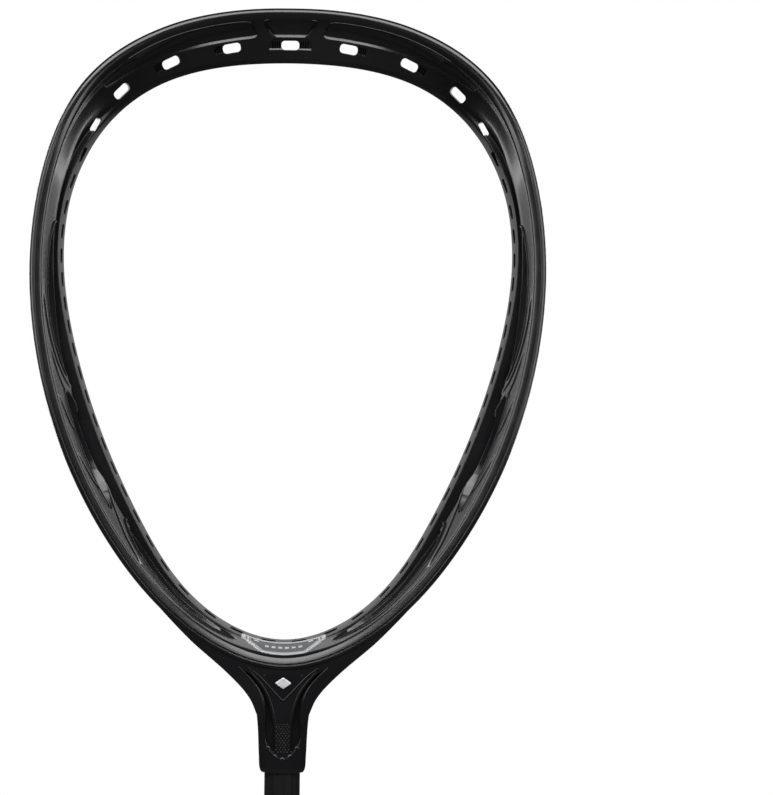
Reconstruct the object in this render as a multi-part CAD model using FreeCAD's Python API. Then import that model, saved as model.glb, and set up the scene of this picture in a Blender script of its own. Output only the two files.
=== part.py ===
import FreeCAD, Part
import math
import os

# Goalkeeper's lacrosse stick: one-piece moulded head, unstrung, on an octagonal
# tubular shaft.  Millimetres.  Origin at the centre of the butt end's flat face,
# +Z up the shaft to the scoop, -Y the open (ball-catching) face, +X the right.
# In the head, "height" is always measured above the collar mouth.

V = FreeCAD.Vector
SIDES = (1, -1)             # right, left

# ---- driving dimensions -------------------------------------------------
SHAFT_LENGTH = 758.0        # tube, from the floor of the end cap
SHAFT_WIDTH = 22.2          # across flats, X
SHAFT_DEPTH = 25.4          # across flats, Y
SHAFT_CHAMFER = 6.3         # octagon corner, measured along each flat
SHAFT_WALL = 1.5
CAP_FLOOR = 4.0
CAP_HEIGHT = 30.0
CAP_WALL = 2.4
CAP_CLEARANCE = 0.1         # added across the flats
SOCKET_DEPTH = 57.0         # how far the shaft goes into the collar
MOUTH_Z = CAP_FLOOR + SHAFT_LENGTH - SOCKET_DEPTH   # collar mouth

RIM_WIDTH = 8.8             # face of the front rim
RIM_DEPTH = 7.0
RIM_BEVEL = 1.5             # front to back, at the rim's inner edge
WALL = 3.9                  # side wall
RAIL_WIDTH = 16.5           # string rail, front to back
RAIL_WALL = 3.4
RAIL_LEAN = 0.6             # how much further in the rail's back edge is
YOKE_FRONT, YOKE_BACK = -15.6, 17.2

SCREW_Z = MOUTH_Z + 42.6
SCREW_SEAT_X = 14.6
SCREW_R = 1.90
SCREW_HOLE_R = 1.96
SCREW_HEAD_R = 3.3

# Right half of the hoop, from the middle of the scoop to the middle of the
# throat, at even steps along the front rim's outer edge:
# x, height, outward normal (x, z), y of the rim's front face,
# inward distance to the string rail's inner face, y of the rail's back edge.
HOOP_STEP = 12.204          # between rows
HOOP = (
    (0.00, 480.07, -0.0000, 1.0000, 8.50, 30.38, 29.36),
    (12.20, 479.86, 0.0412, 0.9992, 8.25, 30.39, 29.33),
    (24.38, 479.03, 0.0954, 0.9954, 7.56, 30.17, 29.25),
    (36.48, 477.51, 0.1556, 0.9878, 6.51, 29.73, 29.11),
    (48.47, 475.21, 0.2212, 0.9752, 5.01, 29.09, 28.92),
    (60.26, 472.09, 0.2908, 0.9568, 3.06, 28.26, 28.65),
    (71.79, 468.11, 0.3627, 0.9319, 0.92, 27.28, 28.33),
    (82.98, 463.24, 0.4346, 0.9006, -1.06, 26.22, 27.97),
    (93.75, 457.50, 0.5067, 0.8621, -3.29, 25.16, 27.62),
    (103.99, 450.87, 0.5801, 0.8145, -5.44, 24.16, 27.36),
    (113.58, 443.33, 0.6553, 0.7554, -7.26, 23.22, 27.09),
    (122.36, 434.87, 0.7316, 0.6817, -8.82, 22.31, 26.85),
    (130.15, 425.48, 0.8056, 0.5925, -10.20, 21.25, 26.66),
    (136.83, 415.27, 0.8645, 0.5027, -11.36, 19.93, 26.61),
    (142.45, 404.45, 0.9078, 0.4195, -12.20, 18.41, 27.09),
    (147.10, 393.17, 0.9385, 0.3452, -12.75, 16.85, 27.95),
    (150.91, 381.58, 0.9598, 0.2806, -13.22, 15.44, 28.68),
    (153.99, 369.77, 0.9743, 0.2253, -13.61, 14.37, 29.45),
    (156.44, 357.81, 0.9843, 0.1766, -14.00, 13.74, 30.34),
    (158.31, 345.76, 0.9916, 0.1294, -14.30, 13.55, 31.28),
    (159.60, 333.62, 0.9965, 0.0834, -14.53, 13.70, 32.05),
    (160.35, 321.44, 0.9992, 0.0387, -14.77, 14.15, 32.69),
    (160.55, 309.24, 1.0000, -0.0045, -14.98, 14.83, 33.44),
    (160.24, 297.04, 0.9989, -0.0464, -15.00, 15.65, 34.22),
    (159.43, 284.87, 0.9962, -0.0870, -15.00, 16.55, 34.84),
    (158.12, 272.73, 0.9920, -0.1264, -15.00, 17.47, 35.31),
    (156.35, 260.66, 0.9863, -0.1648, -15.00, 18.34, 35.60),
    (154.10, 248.66, 0.9792, -0.2031, -15.00, 19.11, 35.83),
    (151.39, 236.77, 0.9705, -0.2412, -15.00, 19.74, 36.11),
    (148.22, 224.98, 0.9603, -0.2791, -15.00, 20.22, 36.30),
    (144.58, 213.33, 0.9485, -0.3166, -15.00, 20.55, 36.30),
    (140.49, 201.84, 0.9353, -0.3538, -15.02, 20.72, 36.30),
    (135.95, 190.51, 0.9207, -0.3904, -15.13, 20.71, 36.30),
    (130.96, 179.37, 0.9045, -0.4264, -15.21, 20.51, 36.27),
    (125.54, 168.44, 0.8870, -0.4617, -15.31, 20.12, 36.23),
    (119.70, 157.73, 0.8682, -0.4962, -15.48, 19.52, 36.16),
    (113.44, 147.25, 0.8481, -0.5299, -15.65, 18.70, 36.07),
    (106.76, 137.04, 0.8260, -0.5637, -15.81, 17.67, 35.86),
    (99.66, 127.11, 0.7994, -0.6008, -16.01, 16.47, 35.54),
    (92.09, 117.55, 0.7675, -0.6410, -16.24, 15.20, 35.17),
    (84.00, 108.40, 0.7294, -0.6841, -16.46, 13.96, 34.80),
    (75.38, 99.77, 0.6842, -0.7293, -16.68, 12.85, 34.42),
    (66.20, 91.74, 0.6314, -0.7755, -16.85, 11.95, 34.03),
    (56.46, 84.39, 0.5705, -0.8213, -16.97, 11.30, 33.65),
    (46.16, 77.85, 0.5003, -0.8658, -17.10, 10.90, 33.28),
    (35.32, 72.24, 0.4151, -0.9098, -17.24, 10.71, 32.97),
    (23.96, 67.80, 0.3083, -0.9513, -17.40, 10.69, 32.72),
    (12.14, 64.83, 0.1732, -0.9849, -17.50, 10.77, 32.56),
    (0.00, 63.71, -0.0000, -1.0000, -17.50, 10.86, 32.50),
)


# ---- general helpers ----------------------------------------------------
def lerp(a, b, t):
    return a + (b - a) * t


def clamp(t):
    return max(0.0, min(1.0, t))


def closed_wire(points):
    return Part.makePolygon(list(points) + [points[0]])


def prism(points, direction):
    return Part.Face(closed_wire(points)).extrude(direction)


def prism_along_x(outline, x, length):
    """Prism in the head from a (y, height) outline standing at x."""
    return prism([V(x, y, height + MOUTH_Z) for y, height in outline], V(length, 0, 0))


def prism_along_y(outline, y, length, side=1):
    """Prism in the head from an (x, height) outline standing at y."""
    return prism([V(side * x, y, height + MOUTH_Z) for x, height in outline],
                 V(0, length, 0))


def octagon(half_width, front, back, corner, z):
    """Rectangle from front to back in y, with its corners cut off."""
    x = half_width
    return [V(x - corner, front, z), V(x, front + corner, z),
            V(x, back - corner, z), V(x - corner, back, z),
            V(-x + corner, back, z), V(-x, back - corner, z),
            V(-x, front + corner, z), V(-x + corner, front, z)]


def shaft_octagon(added, corner, z):
    """The shaft's outline with its width and depth both increased by added."""
    half_depth = (SHAFT_DEPTH + added) / 2.0
    return octagon((SHAFT_WIDTH + added) / 2.0, -half_depth, half_depth, corner, z)


def mirrored(shape):
    return shape.mirror(V(0, 0, 0), V(1, 0, 0))


# ---- hoop ---------------------------------------------------------------
def scoop_weight(distance):
    """1 across the scoop, 0 along the side walls; distance runs along the rim."""
    t = clamp((distance - 118.0) / 105.0)
    return 1.0 - t * t * (3.0 - 2.0 * t)


class Station:
    """The hoop's cross-section at one distance along the rim.

    An inset is a distance inward from the rim's outer edge."""

    def __init__(self, row, distance):
        (self.x, self.height, self.normal_x, self.normal_z,
         self.front, self.rail_inset, self.back) = row
        self.scoop = scoop_weight(distance)
        self.rail_front = self.back - RAIL_WIDTH
        # kink halfway down the side wall's inner face
        self.mid_inset = lerp(RIM_WIDTH, self.rail_inset - RAIL_LEAN, 0.42)
        self.mid_y = lerp(self.front, self.rail_front, 0.5)

    def inset_by(self, inset):
        """(x, height) at an inset."""
        return self.x - self.normal_x * inset, self.height - self.normal_z * inset

    def point(self, inset, y, side=1):
        x, height = self.inset_by(inset)
        return V(side * x, y, height + MOUTH_Z)

    def section(self):
        """Closed outline (inset, y): a rim, a wall and a string rail on the
        sides, blended into the scoop's sloping plate."""
        front, back, rail = self.front, self.back, self.rail_inset
        rail_front, mid = self.rail_front, self.mid_inset
        depth = back - front
        side_wall = (
            (0.0, front + 2.2), (1.6, front),
            (RIM_WIDTH - 1.3, front), (RIM_WIDTH, front + RIM_BEVEL),
            (mid, self.mid_y), (rail - RAIL_LEAN, rail_front),
            (rail, back), (rail - RAIL_WALL, back),
            (rail - RAIL_WALL - RAIL_LEAN, rail_front + 1.2),
            (min(rail - 7.2, 7.4), rail_front - 0.4),
            (min(mid - WALL, 6.6), lerp(front, rail_front, 0.62)),
            (4.9, front + RIM_DEPTH + 1.5), (0.3, front + RIM_DEPTH),
        )
        scoop_plate = (
            (0.0, front + 2.2), (1.6, front),
            (6.8, front + 1.4), (8.2, front + 4.2),
            (rail * 0.5, front + depth * 0.47), (rail * 0.85, front + depth * 0.86),
            (rail, back), (rail - 0.7, back + 2.8),
            (rail - 4.0, back + 3.9),
            (rail * 0.57, front + depth * 0.97),
            (rail * 0.25, front + depth * 0.62),
            (3.0, front + 8.6), (0.4, front + 5.6),
        )
        return [(lerp(p[0], q[0], self.scoop), lerp(p[1], q[1], self.scoop))
                for p, q in zip(side_wall, scoop_plate)]

    def inner_face_y(self, inset):
        """y of the section's inner face at an inset."""
        face = self.section()[3:7]
        for p, q in zip(face, face[1:]):
            if p[0] <= inset <= q[0]:
                return lerp(p[1], q[1], (inset - p[0]) / max(1e-6, q[0] - p[0]))
        return face[0][1]

    def inner_face_inset(self, y):
        """Inset of the side wall's inner face at y."""
        rail_front_inset = self.rail_inset - RAIL_LEAN
        if y < self.mid_y:
            bevel_y = self.front + RIM_BEVEL
            return lerp(RIM_WIDTH, self.mid_inset, (y - bevel_y) / (self.mid_y - bevel_y))
        if y < self.rail_front:
            return lerp(self.mid_inset, rail_front_inset,
                        (y - self.mid_y) / (self.rail_front - self.mid_y))
        return lerp(rail_front_inset, self.rail_inset, (y - self.rail_front) / RAIL_WIDTH)


STATIONS = [Station(row, k * HOOP_STEP) for k, row in enumerate(HOOP)]


def station_at(distance):
    """Station interpolated at a distance along the right half of the rim."""
    k = max(0.0, min(len(HOOP) - 1.000001, distance / HOOP_STEP))
    i = int(k)
    return Station([lerp(a, b, k - i) for a, b in zip(HOOP[i], HOOP[i + 1])], distance)


def make_hoop():
    wires = [closed_wire([station.point(inset, y) for inset, y in station.section()])
             for station in STATIONS]
    right = Part.makeLoft(wires, True, False)
    return right.fuse(mirrored(right))


# ---- yoke, collar and heel ----------------------------------------------
# Outer edge of the right arm, down to the collar: x, height.
ARM = ((80.0, 105.6), (71.3, 96.0), (58.0, 82.4), (50.9, 76.2), (43.5, 70.0), (36.4, 63.9),
       (29.6, 57.7), (23.5, 51.5), (19.1, 45.3), (16.4, 39.2), (15.1, 33.0))
YOKE_TOP_X = (6.0, 18.0, 30.0, 42.0, 54.0, 66.0, 75.0)
YOKE_TOP_INSET = 5.0        # buries the yoke's top in the rim
# Region removed behind each arm: x, y.
ARM_BACK = ((92.0, -10.2), (80.0, -9.6), (66.0, -3.0), (51.0, 6.8), (26.0, 24.0), (92.0, 24.0))
ARM_BACK_HEIGHT = 56.0      # underside of that region

# Collar rings: half width, front y, back y, corner, height.
COLLAR = (
    (12.6, -14.2, 15.2, 4.2, 0.0),
    (13.7, -15.0, 16.8, 4.4, 3.4),
    (13.9, -15.2, 17.6, 4.4, 9.0),
    (14.5, -15.4, 17.7, 4.4, 20.6),
    (15.1, YOKE_FRONT, YOKE_BACK, 4.4, 34.0),
)

HEEL_HALF_WIDTH = 21.0
HEEL = ((15.0, 71.5), (31.2, 71.5), (31.0, 57.6), (24.2, 57.6),
        (17.0, 48.6), (15.0, 48.6))                                     # y, height
HEEL_FLANK = ((10.0, 40.0), (30.0, 40.0), (30.0, 70.0), (19.5, 68.0), (15.0, 56.0))  # x, height


def height_inside_rim(x):
    """Height of a line running inside the lower rim, at the station nearest x."""
    line = [station.inset_by(YOKE_TOP_INSET) for station in STATIONS[30:]]
    return min(line, key=lambda point: abs(point[0] - x))[1]


def make_yoke():
    half = [(x, height_inside_rim(x)) for x in YOKE_TOP_X] + list(ARM)
    outline = half + [(-x, height) for x, height in reversed(half)]
    yoke = prism_along_y(outline, YOKE_FRONT, YOKE_BACK - YOKE_FRONT)
    # Above the collar the arms get shallower outwards, cut away from the back.
    for side in SIDES:
        yoke = yoke.cut(prism([V(side * x, y, MOUTH_Z + ARM_BACK_HEIGHT) for x, y in ARM_BACK],
                              V(0, 0, 60.0)))
    return yoke


def make_collar():
    return Part.makeLoft([closed_wire(octagon(*ring, height + MOUTH_Z))
                          for *ring, height in COLLAR], True, True)


def make_heel():
    """Heel behind the throat, where the string rail runs down onto the collar."""
    heel = prism_along_x(HEEL, -HEEL_HALF_WIDTH, 2 * HEEL_HALF_WIDTH)
    for side in SIDES:
        heel = heel.cut(prism_along_y(HEEL_FLANK, 40.0, -30.0, side))
    # The space inside the hoop is kept clear of the heel.
    half = [station.inset_by(station.rail_inset + 0.2) for station in STATIONS[38:]]
    inside = half + [(-x, height) for x, height in reversed(half[:-1])]
    return heel.cut(prism_along_y(inside, 0.0, 60.0))


# ---- windows in the side walls ------------------------------------------
# Outlines: y, height.
WINDOWS = (
    ((8.6, 343.0), (5.2, 340.0), (0.8, 327.0), (-2.4, 311.0), (-3.2, 287.0),
     (0.0, 270.0), (5.4, 253.0), (11.2, 243.4), (16.2, 244.6), (18.0, 262.0),
     (15.8, 306.0), (12.8, 339.0)),
    ((0.2, 232.5), (4.6, 234.6), (9.0, 230.0), (18.2, 214.0), (18.2, 187.0),
     (6.0, 163.4), (2.2, 160.0), (-1.4, 163.0)),
    ((12.0, 149.0), (9.0, 147.6), (-0.8, 131.5), (-2.2, 112.0), (-1.8, 92.0),
     (0.6, 80.0), (3.4, 78.0), (6.8, 80.6), (12.2, 96.0), (15.6, 119.0),
     (17.2, 142.0), (15.8, 148.0)),
)


def window_tools():
    return [prism_along_x(outline, side * 40.0, side * 140.0)
            for outline in WINDOWS for side in SIDES]


# ---- string holes -------------------------------------------------------
# Right half: x, height.  The first is on the centre line of the scoop, the last
# two are in the throat.
HOLES = (
    (0.0, 460.5), (38.0, 457.7), (77.0, 448.2), (109.5, 429.5), (125.8, 406.5),
    (134.6, 387.5), (140.6, 370.5), (143.6, 353.6), (145.0, 338.2), (145.2, 322.8),
    (144.6, 307.8), (142.8, 292.3), (140.6, 277.3), (137.6, 262.1), (133.6, 247.2),
    (128.4, 232.3), (122.8, 217.0), (116.8, 201.7), (110.2, 186.0), (103.4, 171.2),
    (95.6, 154.8), (86.4, 138.7), (76.6, 123.5), (64.0, 108.0), (47.3, 92.2),
    (30.4, 81.4), (9.8, 75.2),
)
HOLE_CORNER_R = 1.9
# Each pair: in the side rail, in the scoop.
HOLE_LONG = (9.4, 11.4)
HOLE_WIDE = (5.0, 5.6)
HOLE_CUT_DEPTH = (9.0, 24.0)
SEARCH_STEP, SEARCH_COUNT = 0.2, 2930       # places tried along the rim


def rounded_bar(centre, along, across, through, length, width, depth):
    """Rounded rectangular bar centred on a point."""
    points = []
    for sign_u, sign_v, start in ((1, 1, 0), (-1, 1, 90), (-1, -1, 180), (1, -1, 270)):
        for k in range(4):
            angle = math.radians(start + 30.0 * k)
            u = sign_u * (length / 2.0 - HOLE_CORNER_R) + HOLE_CORNER_R * math.cos(angle)
            v = sign_v * (width / 2.0 - HOLE_CORNER_R) + HOLE_CORNER_R * math.sin(angle)
            points.append(centre + along * u + across * v - through * (depth / 2.0))
    return prism(points, through * depth)


def hole_inset(station):
    rail = station.rail_inset
    return lerp(rail - 1.8, rail * 0.66, station.scoop)


def hole_bar(station):
    scoop = station.scoop
    normal = V(station.normal_x, 0, station.normal_z)
    along = V(station.normal_z, 0, -station.normal_x)
    y = lerp(station.back - 7.0, lerp(station.front, station.back, 0.76), scoop)
    through = normal * (1.0 - scoop) + V(0, 1, 0) * scoop
    if scoop > 0.95:        # roughly square to the scoop's plate
        through = through + normal * 0.3
    through.normalize()
    return rounded_bar(station.point(hole_inset(station), y), along, through.cross(along),
                       through, lerp(*HOLE_LONG, scoop), lerp(*HOLE_WIDE, scoop),
                       lerp(*HOLE_CUT_DEPTH, scoop))


def string_hole_tools():
    candidates = []
    for j in range(SEARCH_COUNT):
        station = station_at(j * SEARCH_STEP)
        candidates.append((station, station.inset_by(hole_inset(station))))
    tools = []
    for x, height in HOLES:
        nearest = min(candidates, key=lambda c: (c[1][0] - x) ** 2 + (c[1][1] - height) ** 2)
        bar = hole_bar(nearest[0])
        tools.append(bar)
        if x > 1.0:         # not the one on the centre line
            tools.append(mirrored(bar))
    return tools


# ---- recesses in the yoke and collar ------------------------------------
# x, height: pocket between the badge and the arm, groove down the collar.
POCKET = ((21.5, 63.0), (14.6, 61.0), (5.4, 42.5), (5.4, 33.0), (10.0, 36.5), (13.0, 45.5))
GROOVE = ((5.2, 34.0), (8.4, 32.0), (9.2, 20.0), (8.6, 15.8), (6.2, 13.8), (5.2, 16.0))
FRONT_START = -20.0         # y, clear of the front face
FRONT_CUTS = ((POCKET, 5.9), (GROOVE, 6.2))     # outline, length in y
# Upper channel and lower recess in each flank: inner x, y, height, size in y and z.
FLANK_CUTS = ((14.0, -2.8, 25.0, 6.2, 20.0), (13.4, -3.4, 3.0, 5.6, 18.0))
FLANK_CUT_X = 6.0           # size in x


def recess_tools():
    tools = []
    for side in SIDES:
        for outline, length in FRONT_CUTS:
            tools.append(prism_along_y(outline, FRONT_START, length, side))
        for x, y, height, size_y, size_z in FLANK_CUTS:
            corner = V(x if side > 0 else -x - FLANK_CUT_X, y, MOUTH_Z + height)
            tools.append(Part.makeBox(FLANK_CUT_X, size_y, size_z, corner))
    return tools


# ---- shallow panels along the front of the scoop ------------------------
PANEL_DEPTH = 1.3
# Distance along the rim, outer inset, inner inset.
LONG_PANEL = ((29.5, 8.9, 16.0), (45.0, 8.9, 16.4), (62.0, 8.9, 16.0), (79.0, 8.9, 15.2),
              (96.0, 8.9, 14.2), (112.0, 8.9, 12.8), (128.0, 8.9, 11.0))
MID_PANEL = ((16.6, 8.9, 9.6), (11.6, 8.9, 16.0))


def panel_wire(stop, side):
    distance, outer, inner = stop
    station = station_at(distance)
    outer_y, inner_y = station.inner_face_y(outer), station.inner_face_y(inner)
    corners = ((outer, outer_y - 4.0), (inner, inner_y - 4.0),
               (inner, inner_y + PANEL_DEPTH), (outer, outer_y + PANEL_DEPTH))
    return closed_wire([station.point(inset, y, side) for inset, y in corners])


def panel_tools():
    tools = [Part.makeLoft([panel_wire(stop, side) for stop in LONG_PANEL], True, False)
             for side in SIDES]
    middle = ([panel_wire(stop, -1) for stop in MID_PANEL]
              + [panel_wire(stop, 1) for stop in reversed(MID_PANEL)])
    tools.append(Part.makeLoft(middle, True, True))
    return tools


# ---- cord hole, socket and screw holes ----------------------------------
X_AXIS = V(1, 0, 0)
CORD_HOLE_R = 1.7
CORD_HOLE_START = V(-30.0, 25.2, MOUTH_Z + 62.6)


def make_screw_bore():
    return Part.makeCylinder(SCREW_HOLE_R, 10.0, V(6.0, 0, SCREW_Z), X_AXIS)


def bore_tools(screw_bore):
    cord_hole = Part.makeCylinder(CORD_HOLE_R, 60.0, CORD_HOLE_START, X_AXIS)
    socket = prism(shaft_octagon(0.0, SHAFT_CHAMFER, MOUTH_Z - 1.0),
                   V(0, 0, SOCKET_DEPTH + 1.0))
    seat = Part.makeCylinder(SCREW_HEAD_R + 0.5, 20.0, V(SCREW_SEAT_X, 0, SCREW_Z), X_AXIS)
    return [cord_hole, socket, seat, screw_bore]


# ---- label on the inner face of the throat ------------------------------
THROAT_DISTANCE = 585.78    # along the rim, at the middle of the throat
LABEL_STEPS = (31.0, 27.0, 23.0, 18.0, 12.0, 6.0, 0.0)      # rim distance from the throat
LABEL_THICKNESS = 0.9
LABEL_SINK = 0.4            # depth let into the wall
LABEL_BACK = 22.0
LABEL_FRONT = (-12.0, 17.0)     # front edge's y: in the middle, at the ends
LABEL_TAPER_START = 16.5    # distance from the throat where the front edge turns back
LABEL_TAPER = 14.5


def label_wire(from_throat, side):
    station = station_at(THROAT_DISTANCE - from_throat)
    front = lerp(*LABEL_FRONT, clamp((from_throat - LABEL_TAPER_START) / LABEL_TAPER))
    wall_front = station.inner_face_inset(front) - LABEL_SINK
    wall_back = station.inner_face_inset(LABEL_BACK) - LABEL_SINK
    corners = ((wall_front, front), (wall_front + LABEL_THICKNESS, front),
               (wall_back + LABEL_THICKNESS, LABEL_BACK), (wall_back, LABEL_BACK))
    return closed_wire([station.point(inset, y, side) for inset, y in corners])


def make_label():
    wires = ([label_wire(step, 1) for step in LABEL_STEPS]
             + [label_wire(step, -1) for step in reversed(LABEL_STEPS[:-1])])
    return Part.makeLoft(wires, True, True)


# ---- triangular badge on the front of the yoke --------------------------
BADGE = ((12.6, 61.6), (-12.6, 61.6), (0.0, 45.6))      # x, height
BADGE_PROUD = 0.7
BADGE_THICKNESS = 1.3


def make_badge_blank():
    return prism_along_y(BADGE, YOKE_FRONT - BADGE_PROUD, BADGE_THICKNESS)


# ---- head ---------------------------------------------------------------
def make_head(hoop, screw_bore, label, badge_blank):
    head = hoop.fuse([make_yoke(), make_collar(), make_heel()])
    head = head.cut(window_tools() + string_hole_tools() + recess_tools()
                    + panel_tools() + bore_tools(screw_bore))
    return head.cut(label).cut(badge_blank)


# ---- shaft --------------------------------------------------------------
def make_shaft(screw_bore):
    shaft = prism(shaft_octagon(0.0, SHAFT_CHAMFER, CAP_FLOOR), V(0, 0, SHAFT_LENGTH))
    # This corner keeps the wall even across the octagon's diagonal flats.
    bore_corner = SHAFT_CHAMFER - SHAFT_WALL * (2.0 - math.sqrt(2.0))
    shaft = shaft.cut(prism(shaft_octagon(-2 * SHAFT_WALL, bore_corner, CAP_FLOOR - 1.0),
                            V(0, 0, SHAFT_LENGTH + 2.0)))
    return shaft.cut(screw_bore)


# ---- screw: pan head with a cross recess, shank and point ---------------
HEAD_EDGE = 1.5             # straight part of the head
HEAD_TAPER, HEAD_TOP_R = 0.9, 2.2
SHANK_LENGTH = 7.0
POINT_LENGTH, POINT_TIP_R = 2.4, 0.3
CROSS_LONG, CROSS_WIDE = 3.2, 0.8
CROSS_FLOOR = 1.3           # above the seat


def make_screw():
    def on_axis(from_seat):
        return V(SCREW_SEAT_X + from_seat, 0, SCREW_Z)

    screw = Part.makeCylinder(SCREW_HEAD_R, HEAD_EDGE, on_axis(0.0), X_AXIS)
    for part in (
            Part.makeCone(SCREW_HEAD_R, HEAD_TOP_R, HEAD_TAPER, on_axis(HEAD_EDGE), X_AXIS),
            Part.makeCylinder(SCREW_R, SHANK_LENGTH, on_axis(-SHANK_LENGTH), X_AXIS),
            Part.makeCone(POINT_TIP_R, SCREW_R, POINT_LENGTH,
                          on_axis(-SHANK_LENGTH - POINT_LENGTH), X_AXIS)):
        screw = screw.fuse(part)
    for size_y, size_z in ((CROSS_LONG, CROSS_WIDE), (CROSS_WIDE, CROSS_LONG)):
        corner = on_axis(CROSS_FLOOR) - V(0, size_y / 2, size_z / 2)
        screw = screw.cut(Part.makeBox(2.0, size_y, size_z, corner))
    return screw.removeSplitter()


# ---- end cap ------------------------------------------------------------
# Rings: added to the shaft across the flats, corner, z.
CAP_RINGS = (
    (2 * CAP_WALL - 2.0, 7.0, 0.0),
    (2 * CAP_WALL, 7.6, 2.0),
    (2 * CAP_WALL, 7.6, CAP_HEIGHT - 8.0),
    (2.4, 6.9, CAP_HEIGHT),
)


def make_cap():
    outer = Part.makeLoft([closed_wire(shaft_octagon(*ring)) for ring in CAP_RINGS], True, True)
    return outer.cut(prism(shaft_octagon(CAP_CLEARANCE, SHAFT_CHAMFER, CAP_FLOOR),
                           V(0, 0, CAP_HEIGHT)))


# ---- build and export ---------------------------------------------------
def export(name, shape):
    solids = shape.Solids
    piece = solids[0] if len(solids) == 1 else Part.makeCompound(solids)
    piece.exportStep("parts/%s.step" % name)


hoop = make_hoop()
screw_bore = make_screw_bore()
label = make_label()
badge_blank = make_badge_blank()

os.makedirs("parts", exist_ok=True)
export("head_frame", make_head(hoop, screw_bore, label, badge_blank))
export("throat_label", label)
export("throat_badge", badge_blank.cut(hoop))
export("shaft_tube", make_shaft(screw_bore))
export("head_screw", make_screw())
export("butt_end_cap", make_cap())
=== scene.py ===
# Lacrosse stick: a moulded head on an eight-sided metal shaft, with a rubber cap on the butt.
# The stick stands along +Z with the head on top. X runs across the head, which is
# symmetric but for its screw hole on +X, and the front of the head faces -Y.
# Sizes are in mm unless said otherwise. In the head, "height" is measured up from the
# collar mouth, "arc" along the rim from its top middle, "inset" from the rim towards
# the inside of the hoop, and "side" is 1 for +X or -1 for -X.
import math
from collections import namedtuple

import bmesh
import bpy
import numpy as np
from mathutils import Matrix, Vector
from mathutils.bvhtree import BVHTree


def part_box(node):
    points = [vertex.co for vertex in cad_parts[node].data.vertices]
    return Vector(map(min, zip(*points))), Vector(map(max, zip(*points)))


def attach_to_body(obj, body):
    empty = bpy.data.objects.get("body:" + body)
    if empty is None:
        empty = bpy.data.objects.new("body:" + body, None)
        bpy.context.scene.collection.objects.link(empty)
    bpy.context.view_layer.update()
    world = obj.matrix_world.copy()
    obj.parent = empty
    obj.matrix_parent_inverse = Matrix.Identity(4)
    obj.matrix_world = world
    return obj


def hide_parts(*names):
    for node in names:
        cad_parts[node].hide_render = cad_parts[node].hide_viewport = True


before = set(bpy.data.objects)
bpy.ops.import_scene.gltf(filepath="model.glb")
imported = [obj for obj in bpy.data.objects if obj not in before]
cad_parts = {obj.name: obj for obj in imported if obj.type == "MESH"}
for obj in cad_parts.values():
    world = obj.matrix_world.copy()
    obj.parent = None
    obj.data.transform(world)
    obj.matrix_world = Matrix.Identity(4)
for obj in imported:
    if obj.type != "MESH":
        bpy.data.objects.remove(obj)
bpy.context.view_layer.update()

MM = 0.001                                    # metres in a millimetre
Z_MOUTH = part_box("head_frame")[0].z / MM      # z of the collar mouth
STEP = 12.204                                 # arc between rows of HOOP
RING_STEP = 2.0                               # arc between rings of the hoop mesh
RIM_WIDTH, RIM_DEPTH = 8.8, 7.0
RAIL_WIDTH, RAIL_WALL = 16.5, 3.4
YOKE_FRONT, YOKE_BACK = -15.6, 17.2           # y of the yoke's faces
TUBE_WIDTH, TUBE_DEPTH, TUBE_CHAMFER = 22.2, 25.4, 6.3
SCREW_HEIGHT, SCREW_RADIUS = 42.6, 1.96

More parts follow.
